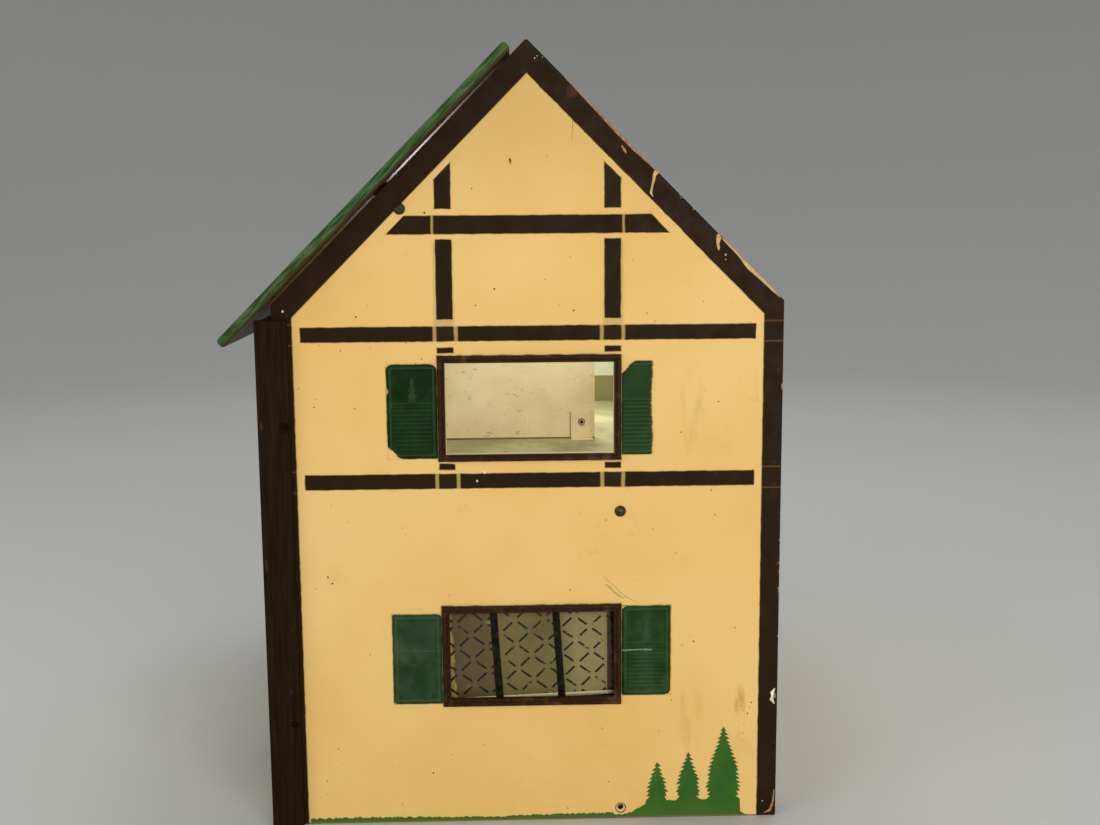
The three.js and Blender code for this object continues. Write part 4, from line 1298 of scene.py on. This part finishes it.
for number, (path, widths) in enumerate(STREAKS):
    daub(f"green_streak_{number + 1}", path, widths, 0.06, "green", GABLE_WALL)
print("drips, chips and streaks placed")

# %% [markdown]
# Specks are everywhere on an old toy: fly spots, grit trapped in the paint and pin-prick losses. A few
# dozen very small daubs, scattered with a seeded random and kept off the windows, give them real
# bodies. The right-hand stile gets five lumps on its outer face.

# %% Specks and lumps
speck_dice = random.Random(41)
placed = 0
while placed < 46:
    a = speck_dice.uniform(-136, 136)
    b = speck_dice.uniform(22, 440)
    if abs(a) + b > 448 or (abs(a) < 60 and (70 < b < 145 or 224 < b < 298)) or abs(a) > 134:
        continue
    size = speck_dice.choice((0.5, 0.6, 0.7, 0.9, 1.2))
    round_daub(f"speck_{placed + 1}", (a, b), size, 0.15, "dark")
    placed += 1

STILE_LOW, STILE_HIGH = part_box("corner_stile_right")
STILE_WALL = wall_place(Vector((STILE_HIGH.x, (STILE_LOW.y + STILE_HIGH.y) / 2, 0)), EAST)
LUMPS = ((-7.2, 253, 1.8, 5), (-7.4, 168, 1.5, 9), (5.0, 88, 1.6, 3), (-6.8, 61, 1.2, 4), (6.5, 128, 1.0, 3))
BULGE = ((0, -0.5), (0.2, -0.25), (0, 0), (-0.1, 0.25), (0, 0.5))
for number, (a, b, size, length) in enumerate(LUMPS):
    path = [(a + bend, b + length * share) for bend, share in BULGE]
    daub(f"stile_lump_{number + 1}", path, [0.4, size * 0.8, size, size * 0.8, 0.4], 0.5, "brown", STILE_WALL)
print(placed, "specks and five lumps")

# %% [markdown]
# Screws, hinges, knobs and the bracket are small, but light finds every metal edge. They keep their
# joinery shapes and take a rounded edge. The steel is dulled by rust, the brass by handling: both are
# a metal colour with a patchy darker film over it, and the film is rougher than the metal.

# %% Metal fittings
def tarnished(name, metal, film, low, high, cover=0.7):
    f = Finish(name, metallic=0.85, shine=0.5)
    patches = f.step(f.grain(0.0035, 5, shift=2.0, roughness=0.65), 0.42, 0.62, 0.0, cover)
    base = f.blend(patches, metal, film)
    scratches = f.step(f.grain(0.0012, 3, (1, 1, 0.1), 4.0), 0.6, 0.7, 0.0, 0.35)
    base = f.blend(scratches, base, metal)
    f.feed(f.shader.inputs["Metallic"], f.minus(0.9, f.both(patches, 0.8)))
    return f.coat(base, f.step(patches, 0.0, 1.0, low, high), f.bump(f.grain(0.0008, 3), 0.04 * MM))


SCREW_STEEL = tarnished("old screw steel", "#484034", "#17110a", 0.4, 0.75, 0.9)


def from_middle(f, node):
    """How far a point of a gable or partition is from the middle of a node, seen square on."""
    middle = sum(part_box(node), Vector()) / 2
    return f.reach(f.minus(f.y, middle.y), f.minus(f.z, middle.z))


def cupped_screw(node):
    """A dark screw sunk in the middle of its bright cup washer."""
    f = Finish("cupped screw", 0.45, 0.5, 0.5)
    cup = f.blend(f.step(f.grain(0.001, 4), 0.4, 0.7), "#d6c7a0", "#8a7a58")
    whole = f.blend(f.step(from_middle(f, node), 1.15 * MM, 1.35 * MM), "#1c130a", cup)
    return f.coat(whole, satin(f), f.bump(f.grain(0.0008, 3), 0.04 * MM))


HINGE_STEEL = tarnished("hinge steel", "#a09a8c", "#7a6a52", 0.35, 0.55, 0.5)
WORN_BRASS = tarnished("worn brass", "#b48f4a", "#6a4f22", 0.25, 0.55)


# A dark ring on the bracket, just round the screw.
def dirt_round_the_screw(f):
    return f.fade(from_middle(f, "bracket_screw"), 2.4 * MM, 2.8 * MM, 0.9)


BRACKET_PAINT = flat_paint("bracket off-white", "#e0cd9f", "#cdb588", 0.7, dirt_round_the_screw)
FITTINGS = {
    "bracket_screw": (cupped_screw("bracket_screw"), 0.15),
    "turn_button_screw": (SCREW_STEEL, 0.15),
    "entrance_door_knob": (WORN_BRASS, 0.3),
    "turn_button": (EAVES_BROWN, 0.3),
    "partition_bracket": (BRACKET_PAINT, 0.2),
}
for side in ("left", "right"):
    FITTINGS["leaf_knob_" + side] = (WORN_BRASS, 0.4)
    for screw in ("floor_screw_", "purlin_screw_"):
        FITTINGS[screw + side] = (SCREW_STEEL, 0.2)
for hinge in ("leaf_hinge_left", "leaf_hinge_right", "roof_hinge"):
    for half in ("_fixed", "_moving"):
        FITTINGS[hinge + half] = (HINGE_STEEL, 0.08)
for node, (finish, edge) in FITTINGS.items():
    wear(node, finish, edge * MM)
print(len(FITTINGS), "fittings finished")

# %% [markdown]
# The entrance door is one board scored to look like five planks. The scored lines are shallow V
# grooves, drawn as a zigzag in the door's plan and carried straight up, which is how a maker would run
# a scratch stock down the board. It stands in for the plain joinery door and swings on the same nails.

# %% The planked entrance door
def door_finish():
    f = Finish("entrance door green")
    lines = f.grain(0.002, 4, (1, 1, 0.06), 3.0)
    base = f.blend(f.step(lines, 0.3, 0.7), "#1d4217", "#2f5b26")
    knocks = f.step(f.grain(0.006, 6, shift=5.0, roughness=0.7), 0.66, 0.72, 0.0, 0.7)
    base = f.blend(knocks, base, "#76855c")
    return f.coat(base, f.step(lines, 0.3, 0.7, 0.34, 0.55), f.bump(lines, 0.2 * MM))


def plank_door():
    low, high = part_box("entrance_door")
    foot, head = low.z + 4 * MM, high.z - 4 * MM
    planks = 5
    pitch = (high.x - low.x) / planks
    plan = [(low.x, high.y), (low.x, low.y + 0.35 * MM), (low.x + 0.35 * MM, low.y)]
    for number in range(1, planks):
        at = low.x + number * pitch
        plan += [(at - 0.7 * MM, low.y), (at, low.y + 0.8 * MM), (at + 0.7 * MM, low.y)]
    plan += [(high.x - 0.35 * MM, low.y), (high.x, low.y + 0.35 * MM), (high.x, high.y)]
    points = [(x, y, z) for z in (foot, head) for x, y in plan]
    faces = prism(len(plan))
    nail_x, nail_y, radius, sides = high.x - 1.4 * MM, (low.y + high.y) / 2, 0.6 * MM, 10
    turns = [2 * math.pi * k / sides for k in range(sides)]
    nail = [(nail_x + radius * math.cos(turn), nail_y + radius * math.sin(turn)) for turn in turns]
    for start, end in ((low.z, foot + 0.5 * MM), (head - 0.5 * MM, high.z)):
        faces += prism(sides, len(points))
        points += [(x, y, z) for z in (start, end) for x, y in nail]
    piece("planked_door", points, faces, door_finish(), "entrance", None, "entrance_door")


plank_door()
print("entrance door planked")

# %% [markdown]
# The house stands on a plain pale floor that curves up all round it, so that no horizon shows from any
# side. A big soft lamp lights the gable, a weaker one the facade, and a third the roof and the rear.
# Daylight would also fall into the rooms past the open back of a toy's doors, and two tiny soft lamps
# under the roof stand for it, so the view through the upper window isn't black.

# %% Floor, backdrop and light
def floor_finish():
    f = Finish("pale floor", 0.9)
    base = f.blend(f.grain(0.9, 2), "#c0c0bc", "#c4c4c0")
    return f.coat(base, f.step(f.grain(0.02, 3), 0.3, 0.7, 0.8, 0.95), f.bump(f.grain(0.004, 3), 0.05 * MM))


def sweep():
    """A round floor that turns up into a wall in one soft curve."""
    flat, bend, wall, turns, steps = 2.2, 2.2, 3.0, 96, 24
    profile = [(0.5, 0.0), (1.2, 0.0), (flat, 0.0)]
    for k in range(1, steps + 1):
        angle = math.pi / 2 * k / steps
        profile.append((flat + bend * math.sin(angle), bend - bend * math.cos(angle)))
    profile.append((flat + bend, wall))
    points = [(0, 0, 0)]
    for radius, z in profile:
        for turn in range(turns):
            angle = 2 * math.pi * turn / turns
            points.append((radius * math.cos(angle), radius * math.sin(angle), z))
    faces = [(0, 1 + turn, 1 + (turn + 1) % turns) for turn in range(turns)]
    for level in range(len(profile) - 1):
        for turn in range(turns):
            this, beside = 1 + level * turns + turn, 1 + level * turns + (turn + 1) % turns
            faces.append((this, this + turns, beside + turns, beside))
    mesh = bpy.data.meshes.new("floor")
    mesh.from_pydata(points, [], faces)
    mesh.shade_smooth()
    mesh.materials.append(floor_finish())
    made = bpy.data.objects.new("floor", mesh)
    bpy.context.scene.collection.objects.link(made)
    return made


sweep()


def lamp(name, place, aim, size, power, tint):
    light = bpy.data.lights.new(name, "AREA")
    light.shape = "SQUARE"
    light.size = size
    light.energy = power
    light.color = tint
    made = bpy.data.objects.new(name, light)
    bpy.context.scene.collection.objects.link(made)
    made.location = place
    made.rotation_euler = (Vector(aim) - Vector(place)).to_track_quat("-Z", "Y").to_euler()


TARGET = (0.1, 0, 0.2)
lamp("soft window light", (2.2, 0.7, 0.75), TARGET, 1.4, 33, (1.0, 0.99, 0.94))
lamp("fill light", (1.5, -1.7, 1.2), TARGET, 1.6, 12, (0.96, 0.98, 1.0))
lamp("top light", (-0.7, 0.2, 2.5), TARGET, 1.8, 26, (1.0, 1.0, 1.0))
for side, power, tint in ((1, 0.19, (1.0, 0.99, 0.97)), (-1, 0.46, (0.97, 0.98, 1.0))):
    lamp(f"room light {side}", (side * 0.12, 0.03, 0.335), (side * 0.03, 0.04, 0.22), 0.1, power, tint)
world = bpy.data.worlds.new("pale sky")
world.use_nodes = True
world.node_tree.nodes["Background"].inputs["Color"].default_value = (0.93, 0.96, 1.0, 1)
world.node_tree.nodes["Background"].inputs["Strength"].default_value = 0.38
bpy.context.scene.world = world
bpy.context.scene.view_settings.view_transform = "Standard"
print("studio lit")
